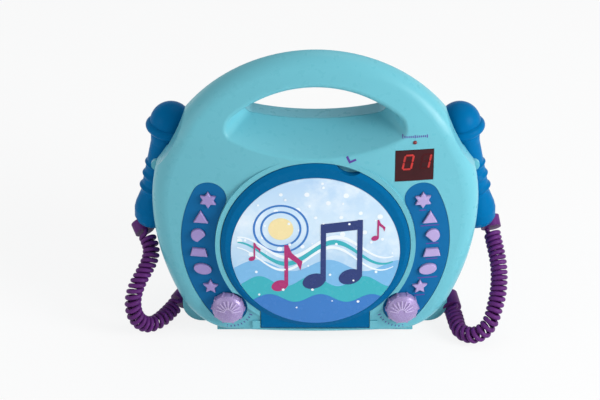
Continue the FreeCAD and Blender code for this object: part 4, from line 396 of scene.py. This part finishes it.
def studio_air():
    world = bpy.data.worlds.new("studio")
    bpy.context.scene.world = world
    world.use_nodes = True
    tree = world.node_tree
    plain = tree.nodes["Background"]
    plain.inputs["Color"].default_value = AIR_COLOUR
    plain.inputs["Strength"].default_value = AIR_STRENGTH
    bright = tree.nodes.new("ShaderNodeBackground")
    bright.inputs["Color"].default_value = SEEN_COLOUR
    output = tree.nodes["World Output"]
    tree.links.new(seen_white(tree, plain.outputs[0], bright.outputs[0]), output.inputs["Surface"])
    bpy.context.scene.view_settings.view_transform = "Standard"


def floor():
    bpy.ops.mesh.primitive_plane_add(size=FLOOR_SIZE)
    plane = bpy.context.object
    plane.name = "floor"
    material = bpy.data.materials.new("pale floor")
    material.use_nodes = True
    tree = material.node_tree
    plain = tree.nodes["Principled BSDF"]
    plain.inputs["Base Color"].default_value = FLOOR_PAINT
    plain.inputs["Roughness"].default_value = FLOOR_ROUGHNESS
    bright = tree.nodes.new("ShaderNodeEmission")
    faint = tree.nodes.new("ShaderNodeMixShader")
    faint.inputs[0].default_value = FLOOR_WHITE_SHARE
    tree.links.new(plain.outputs[0], faint.inputs[1])
    tree.links.new(bright.outputs[0], faint.inputs[2])
    output = tree.nodes["Material Output"]
    tree.links.new(seen_white(tree, plain.outputs[0], faint.outputs[0]), output.inputs["Surface"])
    plane.data.materials.append(material)


camera()
studio_air()
softboxes()
floor()


# Curly cords

# The routes of the two cords, from the gland on the base to the collar on the microphone, in metres:
# across, behind the seam of the shells, up
ROUTES = {
    "left": [(-0.107, 0.009, 0.0134), (-0.1135, 0.0005, 0.0096), (-0.12, -0.0076, 0.0076),
             (-0.1264, -0.0142, 0.0074), (-0.1314, -0.018, 0.0096), (-0.1363, -0.0205, 0.0146),
             (-0.1395, -0.0208, 0.0213), (-0.1405, -0.0188, 0.0284), (-0.1398, -0.0164, 0.0356),
             (-0.1366, -0.0124, 0.044), (-0.1312, -0.0076, 0.052), (-0.1272, -0.0024, 0.0586),
             (-0.126, 0.0032, 0.0636), (-0.128, 0.0096, 0.0682), (-0.1316, 0.0162, 0.0732)],
    "right": [(0.1074, 0.0015, 0.012), (0.109, -0.007, 0.0098), (0.1102, -0.015, 0.0082),
              (0.1116, -0.0225, 0.0076), (0.1155, -0.0283, 0.0076), (0.1214, -0.0319, 0.0083),
              (0.1278, -0.0323, 0.011), (0.1328, -0.0302, 0.0153), (0.136, -0.0273, 0.0208),
              (0.138, -0.0233, 0.0274), (0.1402, -0.0188, 0.034), (0.1416, -0.0136, 0.0415),
              (0.142, -0.0064, 0.051), (0.1408, 0.0012, 0.0596), (0.1388, 0.008, 0.0666),
              (0.1374, 0.0136, 0.0714), (0.1364, 0.018, 0.0756)],
}
ROUTE_ORDER, ROUTE_RESOLUTION = 3, 64
WIRE_RADIUS = 0.0018
COIL_RADIUS = 0.0049
CURL_GAP = 0.0001
# Length at each end of a route without curls
CURL_LEAD = 0.004
# Length to each side of a point over which the curls take their lean
LEAN_REACH = 0.03
LEAD_TURN = math.radians(34)
LEAD_REACH_SHARE = 0.4
LEAD_POINTS = 10
POINTS_PER_CURL = 28
WIRE_SIDES = 16
SMOOTH_ANGLE = math.radians(50)


def route_points(name, spots):
    """Even points along the smooth line that the route's points steer."""
    curve = bpy.data.curves.new(f"{name}_route", "CURVE")
    curve.dimensions = "3D"
    spline = curve.splines.new("NURBS")
    spline.points.add(len(spots) - 1)
    for point, (x, y, z) in zip(spline.points, spots):
        point.co = (x, y + SEAM_Y, z, 1.0)
    spline.order_u = ROUTE_ORDER
    spline.use_endpoint_u = True
    spline.resolution_u = ROUTE_RESOLUTION
    holder = bpy.data.objects.new(f"{name}_route", curve)
    mesh = bpy.data.meshes.new_from_object(holder)
    points = [vertex.co.copy() for vertex in mesh.vertices]
    bpy.data.objects.remove(holder)
    bpy.data.meshes.remove(mesh)
    bpy.data.curves.remove(curve)
    return points


def ways_along(points):
    """Direction of a line at each of its points."""
    ways = [(after - before).normalized() for before, after in zip(points, points[1:])]
    return ways + [ways[-1]]


def steady_sides(ways):
    """One side direction for each point that turns no more than the line does."""
    side = ways[0].cross(Vector((1, 0, 0))).normalized()
    sides = []
    for way in ways:
        side = (side - way * side.dot(way)).normalized()
        sides.append(side)
    return sides


def lead(start, start_way, end, end_way):
    """A smooth bend from one point and direction to another."""
    reach = (end - start).length * LEAD_REACH_SHARE
    return interpolate_bezier(start, start + start_way * reach, end - end_way * reach, end, LEAD_POINTS)


class Curls:
    """A helix about a route. Its turns lean like stacked coins and open only where the route bends hard."""

    def __init__(self, points):
        self.points = points
        self.distances = [0.0]
        for before, after in zip(points, points[1:]):
            self.distances.append(self.distances[-1] + (after - before).length)
        self.ways = ways_along(points)
        self.axes = [self.leaning_axis(index) for index in range(len(points))]
        self.sides = steady_sides(self.axes)
        self.angles = [0.0]
        for index in range(1, len(points)):
            step = self.distances[index] - self.distances[index - 1]
            self.angles.append(self.angles[-1] + self.turn_rate(index) * step)

    def near(self, index, reach):
        """The points of the route within a length of one of them."""
        here = self.distances[index]
        return [count for count, distance in enumerate(self.distances) if abs(distance - here) <= reach]

    def leaning_axis(self, index):
        """Mean direction of the route over a length about a point, less at the two ends."""
        here = self.distances[index]
        reach = min(LEAN_REACH, here, self.distances[-1] - here)
        return sum((self.ways[count] for count in self.near(index, reach)), Vector()).normalized()

    def turn_rate(self, index):
        """Angle of the helix for each metre of the route, so that the curls just clear each other."""
        if not CURL_LEAD < self.distances[index] < self.distances[-1] - CURL_LEAD:
            return 0.0
        closest = 2 * WIRE_RADIUS + CURL_GAP
        near = self.near(index, closest)
        first, last = near[0], near[-1]
        bend = self.axes[first].angle(self.axes[last]) / (self.distances[last] - self.distances[first])
        lean = self.ways[index].dot(self.axes[index])
        return FULL_TURN * (lean - COIL_RADIUS * bend) / closest

    def spot(self, index, share, angle):
        """Point of the helix at a share of the way to the next route point, turned by an angle."""
        middle = self.points[index].lerp(self.points[min(index + 1, len(self.points) - 1)], share)
        axis, side = self.axes[index], self.sides[index]
        return middle + (side * math.cos(angle) + axis.cross(side) * math.sin(angle)) * COIL_RADIUS

    def helix(self):
        """Points at even angles from the first curl to the last."""
        count = int(self.angles[-1] / FULL_TURN * POINTS_PER_CURL)
        spots = []
        index = 0
        for step in range(count + 1):
            angle = self.angles[-1] * step / count
            while index < len(self.angles) - 2 and self.angles[index + 1] <= angle:
                index += 1
            while self.angles[index + 1] == self.angles[index]:
                index -= 1
            share = (angle - self.angles[index]) / (self.angles[index + 1] - self.angles[index])
            spots.append(self.spot(index, min(share, 1.0), angle))
        return spots

    def line(self):
        """The whole wire: the helix with a lead at each end."""
        helix = self.helix()
        first = self.spot(0, 0.0, -LEAD_TURN)
        end = self.spot(len(self.points) - 1, 0.0, self.angles[-1] + LEAD_TURN)
        lead_in = lead(first, self.ways[0], helix[0], (helix[1] - helix[0]).normalized())
        lead_out = lead(helix[-1], (helix[-1] - helix[-2]).normalized(), end, self.ways[-1])
        return lead_in[:-1] + helix + lead_out[1:]


def tube(name, line):
    """A closed tube of the wire's thickness along a line."""
    ways = ways_along(line)
    turns = [FULL_TURN * count / WIRE_SIDES for count in range(WIRE_SIDES)]
    made = bmesh.new()
    rings = []
    for point, way, side in zip(line, ways, steady_sides(ways)):
        across = way.cross(side)
        spokes = [side * math.cos(turn) + across * math.sin(turn) for turn in turns]
        rings.append([made.verts.new(point + spoke * WIRE_RADIUS) for spoke in spokes])
    for before, after in zip(rings, rings[1:]):
        for count in range(WIRE_SIDES):
            following = (count + 1) % WIRE_SIDES
            made.faces.new((before[count], before[following], after[following], after[count]))
    made.faces.new(rings[0][::-1])
    made.faces.new(rings[-1])
    bmesh.ops.recalc_face_normals(made, faces=made.faces)
    mesh = bpy.data.meshes.new(name)
    made.to_mesh(mesh)
    made.free()
    piece = bpy.data.objects.new(name, mesh)
    bpy.context.scene.collection.objects.link(piece)
    return piece


def only(piece):
    """Selects one piece and nothing else."""
    bpy.ops.object.select_all(action="DESELECT")
    piece.select_set(True)
    bpy.context.view_layer.objects.active = piece


def curly_cord(side):
    node = f"{side}_mic_cord"
    line = Curls(route_points(node, ROUTES[side])).line()
    piece = tube(f"{side}_curly_cord", line)
    only(piece)
    bpy.ops.object.shade_smooth_by_angle(angle=SMOOTH_ANGLE)
    dress(piece, CORD)
    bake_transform(piece)
    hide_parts(node)


for side in SIDES:
    curly_cord(side)


# Flat shapes for print, drawn upright in front of the player and then pressed onto its surfaces

DRAWING_Y = -0.25
# How far a pressed shape reaches below the surface
SUNK = 0.0004
DOT_CORNERS, FINE_DOT_CORNERS, HOOP_CORNERS = 28, 16, 72
# Bevel of a segment's corners as a share of its width, kept just below half
SEGMENT_POINT_SHARE = 0.499


def stood_up(degrees):
    """Turn of a shape drawn flat: upright, facing the front, and turned to the left by an angle."""
    return (math.pi / 2, -math.radians(degrees), 0)


def sized(wide, high):
    """The shape just added, scaled, with its place and turn in its mesh."""
    piece = bpy.context.object
    piece.scale = (wide, high, 1)
    bpy.ops.object.transform_apply(location=True, rotation=True, scale=True)
    return piece


def edit_all(piece):
    """Opens a piece in edit mode with all of it selected."""
    only(piece)
    bpy.ops.object.mode_set(mode="EDIT")
    bpy.ops.mesh.select_all(action="SELECT")


def edited(piece, operator, **settings):
    """A piece after one edit mode operator on the whole of it."""
    edit_all(piece)
    operator(**settings)
    bpy.ops.object.mode_set(mode="OBJECT")
    return piece


def bar(wide, high, x, z, degrees=0.0):
    bpy.ops.object.select_all(action="DESELECT")
    bpy.ops.mesh.primitive_plane_add(size=1, location=(x, DRAWING_Y, z), rotation=stood_up(degrees))
    return sized(wide, high)


def dot(wide, high, x, z, degrees=0.0, corners=DOT_CORNERS):
    bpy.ops.object.select_all(action="DESELECT")
    bpy.ops.mesh.primitive_circle_add(vertices=corners, radius=0.5, fill_type="TRIFAN",
                                      location=(x, DRAWING_Y, z), rotation=stood_up(degrees))
    return sized(wide, high)


def hoop(radius, width, x, z):
    """A circle's edge drawn inwards to a band."""
    bpy.ops.object.select_all(action="DESELECT")
    bpy.ops.mesh.primitive_circle_add(vertices=HOOP_CORNERS, radius=radius, location=(x, DRAWING_Y, z),
                                      rotation=stood_up(0))
    piece = sized(1, 1)
    edit_all(piece)
    bpy.ops.mesh.extrude_edges_move()
    inner_share = (radius - width) / radius
    bpy.ops.transform.resize(value=(inner_share, 1, inner_share), center_override=(x, DRAWING_Y, z))
    bpy.ops.object.mode_set(mode="OBJECT")
    return edited(piece, bpy.ops.mesh.normals_make_consistent, inside=False)


def segment(length, width, x, z, degrees):
    """A display segment: a bar with both ends bevelled to points."""
    return edited(bar(length, width, x, z, degrees), bpy.ops.mesh.bevel, offset=width * SEGMENT_POINT_SHARE,
                  offset_type="WIDTH", affect="VERTICES", segments=1)


def cut_out(outline):
    """A flat filled shape with a free outline of (x, z) points."""
    curve = bpy.data.curves.new("outline", "CURVE")
    curve.dimensions = "2D"
    curve.fill_mode = "BOTH"
    spline = curve.splines.new("POLY")
    spline.points.add(len(outline) - 1)
    for point, (x, z) in zip(spline.points, outline):
        point.co = (x, z, 0, 1)
    spline.use_cyclic_u = True
    piece = bpy.data.objects.new("outline", curve)
    bpy.context.scene.collection.objects.link(piece)
    only(piece)
    bpy.ops.object.convert(target="MESH")
    piece = bpy.context.object
    piece.location = (0, DRAWING_Y, 0)
    piece.rotation_euler = stood_up(0)
    return sized(1, 1)


def around(x, z, reach, degrees):
    """A place at a distance and an angle from another."""
    turn = math.radians(degrees)
    return x + reach * math.cos(turn), z + reach * math.sin(turn)


def fan(middle, side, count, step):
    """Even angles about a middle one."""
    return [middle + side * step * (place - (count - 1) / 2) for place in range(count)]


def face_front(shape):
    """Turns a flat shape's faces round if they look to the back."""
    if sum(face.normal.y * face.area for face in shape.data.polygons) > 0:
        edited(shape, bpy.ops.mesh.flip_normals)


def pressed(name, shapes, node, material, body, lift):
    """The shapes joined, laid on the front of a node at a small lift and given their thickness."""
    for shape in shapes:
        face_front(shape)
    only(shapes[0])
    for shape in shapes[1:]:
        shape.select_set(True)
    if len(shapes) > 1:
        bpy.ops.object.join()
    piece = bpy.context.object
    piece.name = name
    piece.data.name = name
    wrap = piece.modifiers.new("on the surface", "SHRINKWRAP")
    wrap.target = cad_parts[node]
    wrap.wrap_method = "PROJECT"
    wrap.wrap_mode = "ABOVE_SURFACE"
    wrap.use_project_y = True
    wrap.use_positive_direction = True
    wrap.use_negative_direction = False
    wrap.offset = lift
    wall = piece.modifiers.new("thickness", "SOLIDIFY")
    wall.thickness = lift + SUNK
    wall.offset = -1
    for modifier in (wrap.name, wall.name):
        bpy.ops.object.modifier_apply(modifier=modifier)
    dress(piece, material)
    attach(piece, body)


# Display digits: two seven-segment figures that lean to the right

DIGIT_WIDE, DIGIT_HIGH, DIGIT_PITCH = 0.00625, 0.0116, 0.01295
# Lower left corner of the first digit from the window's middle
DIGIT_START_X, DIGIT_START_Z = -0.0088, -0.003
SEGMENT_WIDE, SEGMENT_GAP = 0.0015, 0.0004
DIGIT_LEAN = 10
LEVEL, UPRIGHT = 0, 90
LIT_LIFT, UNLIT_LIFT = 0.00012, 0.00006
SEGMENTS_OF = {"0": "abcdef", "1": "bc"}


def figure_segments(left, low):
    """Centre, length and turn of each segment of a figure by its usual letter, before the lean."""
    half = DIGIT_HIGH / 2
    across, down = DIGIT_WIDE - SEGMENT_GAP, half - SEGMENT_GAP
    middle, right = left + DIGIT_WIDE / 2, left + DIGIT_WIDE
    lower, upper = low + half / 2, low + half + half / 2
    return {
        "a": (middle, low + DIGIT_HIGH, across, LEVEL),
        "b": (right, upper, down, UPRIGHT),
        "c": (right, lower, down, UPRIGHT),
        "d": (middle, low, across, LEVEL),
        "e": (left, lower, down, UPRIGHT),
        "f": (left, upper, down, UPRIGHT),
        "g": (middle, low + half, across, LEVEL),
    }


def display_digits(text="01"):
    window_x, window_z = middle_of("display_window")
    low = window_z + DIGIT_START_Z
    shift = math.tan(math.radians(DIGIT_LEAN))
    lit_segments, unlit_segments = [], []
    for place, figure in enumerate(text):
        left = window_x + DIGIT_START_X + place * DIGIT_PITCH
        for letter, (x, z, length, turn) in figure_segments(left, low).items():
            tilt = DIGIT_LEAN if turn == UPRIGHT else 0
            piece = segment(length, SEGMENT_WIDE, x + (z - low) * shift, z, turn - tilt)
            group = lit_segments if letter in SEGMENTS_OF[figure] else unlit_segments
            group.append(piece)
    pressed("display_lit_segments", lit_segments, "display_window", RED, "housing", LIT_LIFT)
    pressed("display_unlit_segments", unlit_segments, "display_window", DIM, "housing",
            UNLIT_LIFT)


# Plain marks in purple print

MARK_LIFT = 0.00008
# Length of the dash of each working key, and its drop below the key's middle
KEY_DASHES = {
    "six_point_key": (0.0050, 0.0091),
    "triangle_key": (0.0140, 0.0063),
    "pick_key": (0.0096, 0.0074),
    "trapeze_key": (0.0090, 0.0061),
    "oval_key": (0.0150, 0.0080),
    "five_point_key": (0.0080, 0.0080),
}
DASH_HIGH = 0.0009
# Where the two knobs turn, to each side and up, and the ring of ticks about each
KNOB_X, KNOB_Z = 0.0663, 0.032
STRAIGHT_UP, STRAIGHT_DOWN = 90, 270
TICK_RING = 0.0182
TICKS, TICK_STEP = 9, 9
# Turn of the ticks from straight down towards the middle of the player
TICK_TURN = 32
TICK_WIDE, TICK_SHORT, TICK_LONG = 0.0007, 0.0016, 0.0026
ARROW_X, ARROW_Z = 0.0262, 0.1625
ARROW_ARM, ARROW_TURN, ARROW_CUTS = 0.0042, -20, 5
ARROW_SHARES = [(-1, 0), (0, -1), (1, 0), (0.7, 0.3), (0, -0.4), (-0.7, 0.3)]
# Row of ticks above the lamp: their number, the spacing of the long ones and the row's rise
LAMP_TICKS, LAMP_TICK_GROUP, LAMP_TICK_RISE = 13, 6, 0.0045
LAMP_TICK_STEP, LAMP_TICK_WIDE, LAMP_TICK_SHORT, LAMP_TICK_LONG = 0.0015, 0.0008, 0.0015, 0.0024


def marked(name, shapes, node):
    pressed(name, shapes, node, PRINT, "housing", MARK_LIFT)


def key_marks():
    """A dash of its own length below each working key."""
    dashes = []
    for key, (length, drop) in KEY_DASHES.items():
        x, z = middle_of(key)
        dashes.append(bar(length, DASH_HIGH, x, z - drop))
    marked("key_marks", dashes, "right_panel")


def knob_marks():
    """A fan of ticks on the shell beside each knob, longer at its two ends."""
    ticks = []
    for side in SIDES.values():
        for place, degrees in enumerate(fan(STRAIGHT_DOWN - TICK_TURN * side, side, TICKS, TICK_STEP)):
            length = TICK_LONG if place in (0, TICKS - 1) else TICK_SHORT
            x, z = around(side * KNOB_X, KNOB_Z, TICK_RING, degrees)
            ticks.append(bar(length, TICK_WIDE, x, z, degrees))
    marked("knob_marks", ticks, "front_shell")


def lid_arrow():
    """A small open arrow above the lid's finger notch."""
    turn = math.radians(ARROW_TURN)
    spots = [(ARROW_ARM * across, ARROW_ARM * up) for across, up in ARROW_SHARES]
    outline = [(ARROW_X + across * math.cos(turn) - up * math.sin(turn),
                ARROW_Z + across * math.sin(turn) + up * math.cos(turn)) for across, up in spots]
    arrow = edited(cut_out(outline), bpy.ops.mesh.subdivide, number_cuts=ARROW_CUTS)
    marked("lid_arrow", [arrow], "front_shell")


def lamp_mark():
    """A row of ticks above the programme lamp, longer at its middle and ends."""
    lamp_x, lamp_z = middle_of("program_led")
    ticks = []
    for count in range(LAMP_TICKS):
        high = LAMP_TICK_SHORT if count % LAMP_TICK_GROUP else LAMP_TICK_LONG
        x = lamp_x + LAMP_TICK_STEP * (count - LAMP_TICKS // 2)
        ticks.append(bar(LAMP_TICK_WIDE, high, x, lamp_z + LAMP_TICK_RISE))
    marked("lamp_mark", ticks, "front_shell")


# Ridges of the knobs

RIDGES, RIDGE_STEP, RIDGE_CUTS = 9, 21, 7
RIDGE_START, RIDGE_END = 0.0026, 0.0092
RIDGE_WIDE, RIDGE_LIFT = 0.0010, 0.0006


def knob_ridges():
    """Thin ridges that fan out over the upper half of each knob's dome and show where it points."""
    for name, side in KNOBS.items():
        ridges = []
        for degrees in fan(STRAIGHT_UP, side, RIDGES, RIDGE_STEP):
            x, z = around(side * KNOB_X, KNOB_Z, (RIDGE_START + RIDGE_END) / 2, degrees)
            ridge = bar(RIDGE_END - RIDGE_START, RIDGE_WIDE, x, z, degrees)
            ridges.append(edited(ridge, bpy.ops.mesh.subdivide, number_cuts=RIDGE_CUTS))
        # The ridges take the lighter pearl, which is a painted highlight along them
        pressed(f"{name}_ridges", ridges, name, RIDGE_WITH_PAINTED_HIGHLIGHT, name, RIDGE_LIFT)


display_digits()
key_marks()
knob_marks()
knob_ridges()
lid_arrow()
lamp_mark()


# Picture on the lid: sound waves, rings and notes over a pale sky, in places from the picture's middle

PICTURE_Z = middle_of("lid_picture")[1]
PICTURE_RADIUS = 0.0636
LAYER_STEP = 0.00005
WAVE_STEPS, RIBBON_STEPS = 240, 60
RIBBON_END_SHARE = 0.25

# Parts of a note as shares of its stem's length
HEAD_WIDE_SHARE, HEAD_HIGH_SHARE, HEAD_OUT_SHARE = 0.36, 0.26, 0.14
HEAD_TURN = 22
STEM_SHARE = 0.08
PAIR_GAP_SHARE, PAIR_RISE_SHARE, BEAM_SHARE = 0.55, 0.08, 0.16
FLAG_SHARES = [(0.04, 1), (0.12, 0.8), (0.34, 0.6), (0.3, 0.38), (0.22, 0.56), (0.04, 0.7)]
# Lift of each further part of a note as a share of a layer
COAT_SHARE = 0.25

GOLDEN_ANGLE = math.pi * (3 - math.sqrt(5))
DOT_MARGIN = 0.004
DOT_LEAST_SHARE, DOT_BEAT = 0.5, 3.7

CREAM_DISC_X, CREAM_DISC_Z, CREAM_DISC_WIDE = -0.026, 0.02, 0.019
RING_RADII, RING_WIDE = (0.021, 0.0155), 0.0016


def printed(name, shapes, material, level):
    pressed(name, shapes, "lid_picture", material, "lid", lift=LAYER_STEP * level)


def on_picture(outline):
    return cut_out([(x, PICTURE_Z + z) for x, z in outline])


def rim(x):
    """Lower edge of the picture."""
    return -math.sqrt(max(PICTURE_RADIUS ** 2 - x ** 2, 0))


def wave(base, swing, waves, phase):
    """Everything in the picture below a wavy line, out to the picture's edge."""
    half = math.sqrt(PICTURE_RADIUS ** 2 - base ** 2) - swing / 2
    places = [PICTURE_RADIUS * (2 * count / WAVE_STEPS - 1) for count in range(1, WAVE_STEPS)]
    crest = [(x, base + swing * math.sin(waves * math.pi * x / half + phase)) for x in places]
    crest = [(x, z) for x, z in crest if rim(x) + LAYER_STEP < z < -rim(x)]
    return on_picture(crest + [(x, rim(x)) for x, z in reversed(crest)])


def ribbon(base, swing, waves, phase, width):
    """A wavy band that swells from both ends to its middle."""
    half = math.sqrt(PICTURE_RADIUS ** 2 - (abs(base) + swing) ** 2) - width
    upper, lower = [], []
    for count in range(RIBBON_STEPS + 1):
        x = -half + 2 * half * count / RIBBON_STEPS
        z = base + swing * math.sin(waves * math.pi * x / half + phase)
        swell = RIBBON_END_SHARE + (1 - RIBBON_END_SHARE) * math.sin(math.pi * count / RIBBON_STEPS)
        upper.append((x, z + width / 2 * swell))
        lower.append((x, z - width / 2 * swell))
    return on_picture(upper + lower[::-1])


def note_head(x, z, size):
    return dot(HEAD_WIDE_SHARE * size, HEAD_HIGH_SHARE * size, x - HEAD_OUT_SHARE * size, PICTURE_Z + z,
               HEAD_TURN)


def note_stem(x, z, size):
    return bar(STEM_SHARE * size, size, x, PICTURE_Z + z + size / 2)


def note_pair(x, z, size):
    """Two notes joined by a sloped beam."""
    gap, rise, thick = PAIR_GAP_SHARE * size, PAIR_RISE_SHARE * size, BEAM_SHARE * size
    half_stem = STEM_SHARE * size / 2
    left, right = x - half_stem, x + gap + half_stem
    left_top, right_top = z + size, z + size + rise
    beam = [(left, left_top - thick), (right, right_top - thick), (right, right_top), (left, left_top)]
    return {
        "heads": [note_head(x, z, size), note_head(x + gap, z + rise, size)],
        "stems": [note_stem(x, z, size), note_stem(x + gap, z + rise, size)],
        "beam": [on_picture(beam)],
    }


def single_note(x, z, size):
    """A note with a flag."""
    flag = [(x + across * size, z + up * size) for across, up in FLAG_SHARES]
    return {"head": [note_head(x, z, size)], "stem": [note_stem(x, z, size)], "flag": [on_picture(flag)]}


def printed_note(name, note, material, level):
    """The parts of a note in coats of their own, as they overlap."""
    for coat, (part, shapes) in enumerate(note.items()):
        printed(f"{name}_{part}", shapes, material, level + COAT_SHARE * coat)


def spiral_dots(count, start, low, size):
    """Dots on a sunflower spiral, only those above a height."""
    dots = []
    for index in range(count):
        radius = (PICTURE_RADIUS - DOT_MARGIN) * math.sqrt((index + 0.5) / count)
        turn = index * GOLDEN_ANGLE + start
        x, z = radius * math.cos(turn), radius * math.sin(turn)
        beat = abs(math.sin(DOT_BEAT * index))
        width = size * (DOT_LEAST_SHARE + (1 - DOT_LEAST_SHARE) * beat)
        if z > low:
            dots.append(dot(width, width, x, PICTURE_Z + z, corners=FINE_DOT_CORNERS))
    return dots


def disc_rings():
    return [hoop(radius, RING_WIDE, CREAM_DISC_X, PICTURE_Z + CREAM_DISC_Z) for radius in RING_RADII]


def cream_disc():
    return dot(CREAM_DISC_WIDE, CREAM_DISC_WIDE, CREAM_DISC_X, PICTURE_Z + CREAM_DISC_Z)


def lid_art():
    far_waves = wave(base=-0.012, swing=0.005, waves=2.2, phase=0.4)
    printed("picture_far_waves", [far_waves], SKY, level=1)
    printed("picture_dots", spiral_dots(count=46, start=0.3, low=-0.004, size=0.0042), WHITE, level=1.5)
    printed("picture_rings", disc_rings(), MIDDLE_BLUE, level=2)
    printed("picture_cream_disc", [cream_disc()], CREAM, level=2.5)
    near_waves = wave(base=-0.026, swing=0.0045, waves=2.8, phase=2.0)
    printed("picture_near_waves", [near_waves], TEAL, level=3)
    upper_ribbon = ribbon(base=0.004, swing=0.009, waves=1.6, phase=0.2, width=0.0034)
    lower_ribbon = ribbon(base=-0.006, swing=0.010, waves=1.6, phase=0.5, width=0.0026)
    printed("picture_ribbons", [upper_ribbon, lower_ribbon], WHITE, level=3.5)
    teal_ribbon = ribbon(base=-0.001, swing=0.0095, waves=1.6, phase=0.35, width=0.0042)
    printed("picture_teal_ribbon", [teal_ribbon], TEAL, level=4)
    front_waves = wave(base=-0.041, swing=0.0035, waves=2.4, phase=0.9)
    printed("picture_front_waves", [front_waves], MIDDLE_BLUE, level=4.5)
    printed_note("picture_note_pair", note_pair(x=0.006, z=-0.026, size=0.05), NAVY, level=5)
    printed_note("picture_magenta_note", single_note(x=-0.022, z=-0.03, size=0.036), MAGENTA, level=5)
    printed_note("picture_right_note", single_note(x=0.047, z=0.012, size=0.016), MAGENTA, level=5)
    printed_note("picture_left_note", single_note(x=-0.046, z=-0.006, size=0.014), MAGENTA, level=5)
    printed("picture_white_dots", spiral_dots(count=30, start=1.9, low=-0.05, size=0.0022), WHITE, level=6)


lid_art()
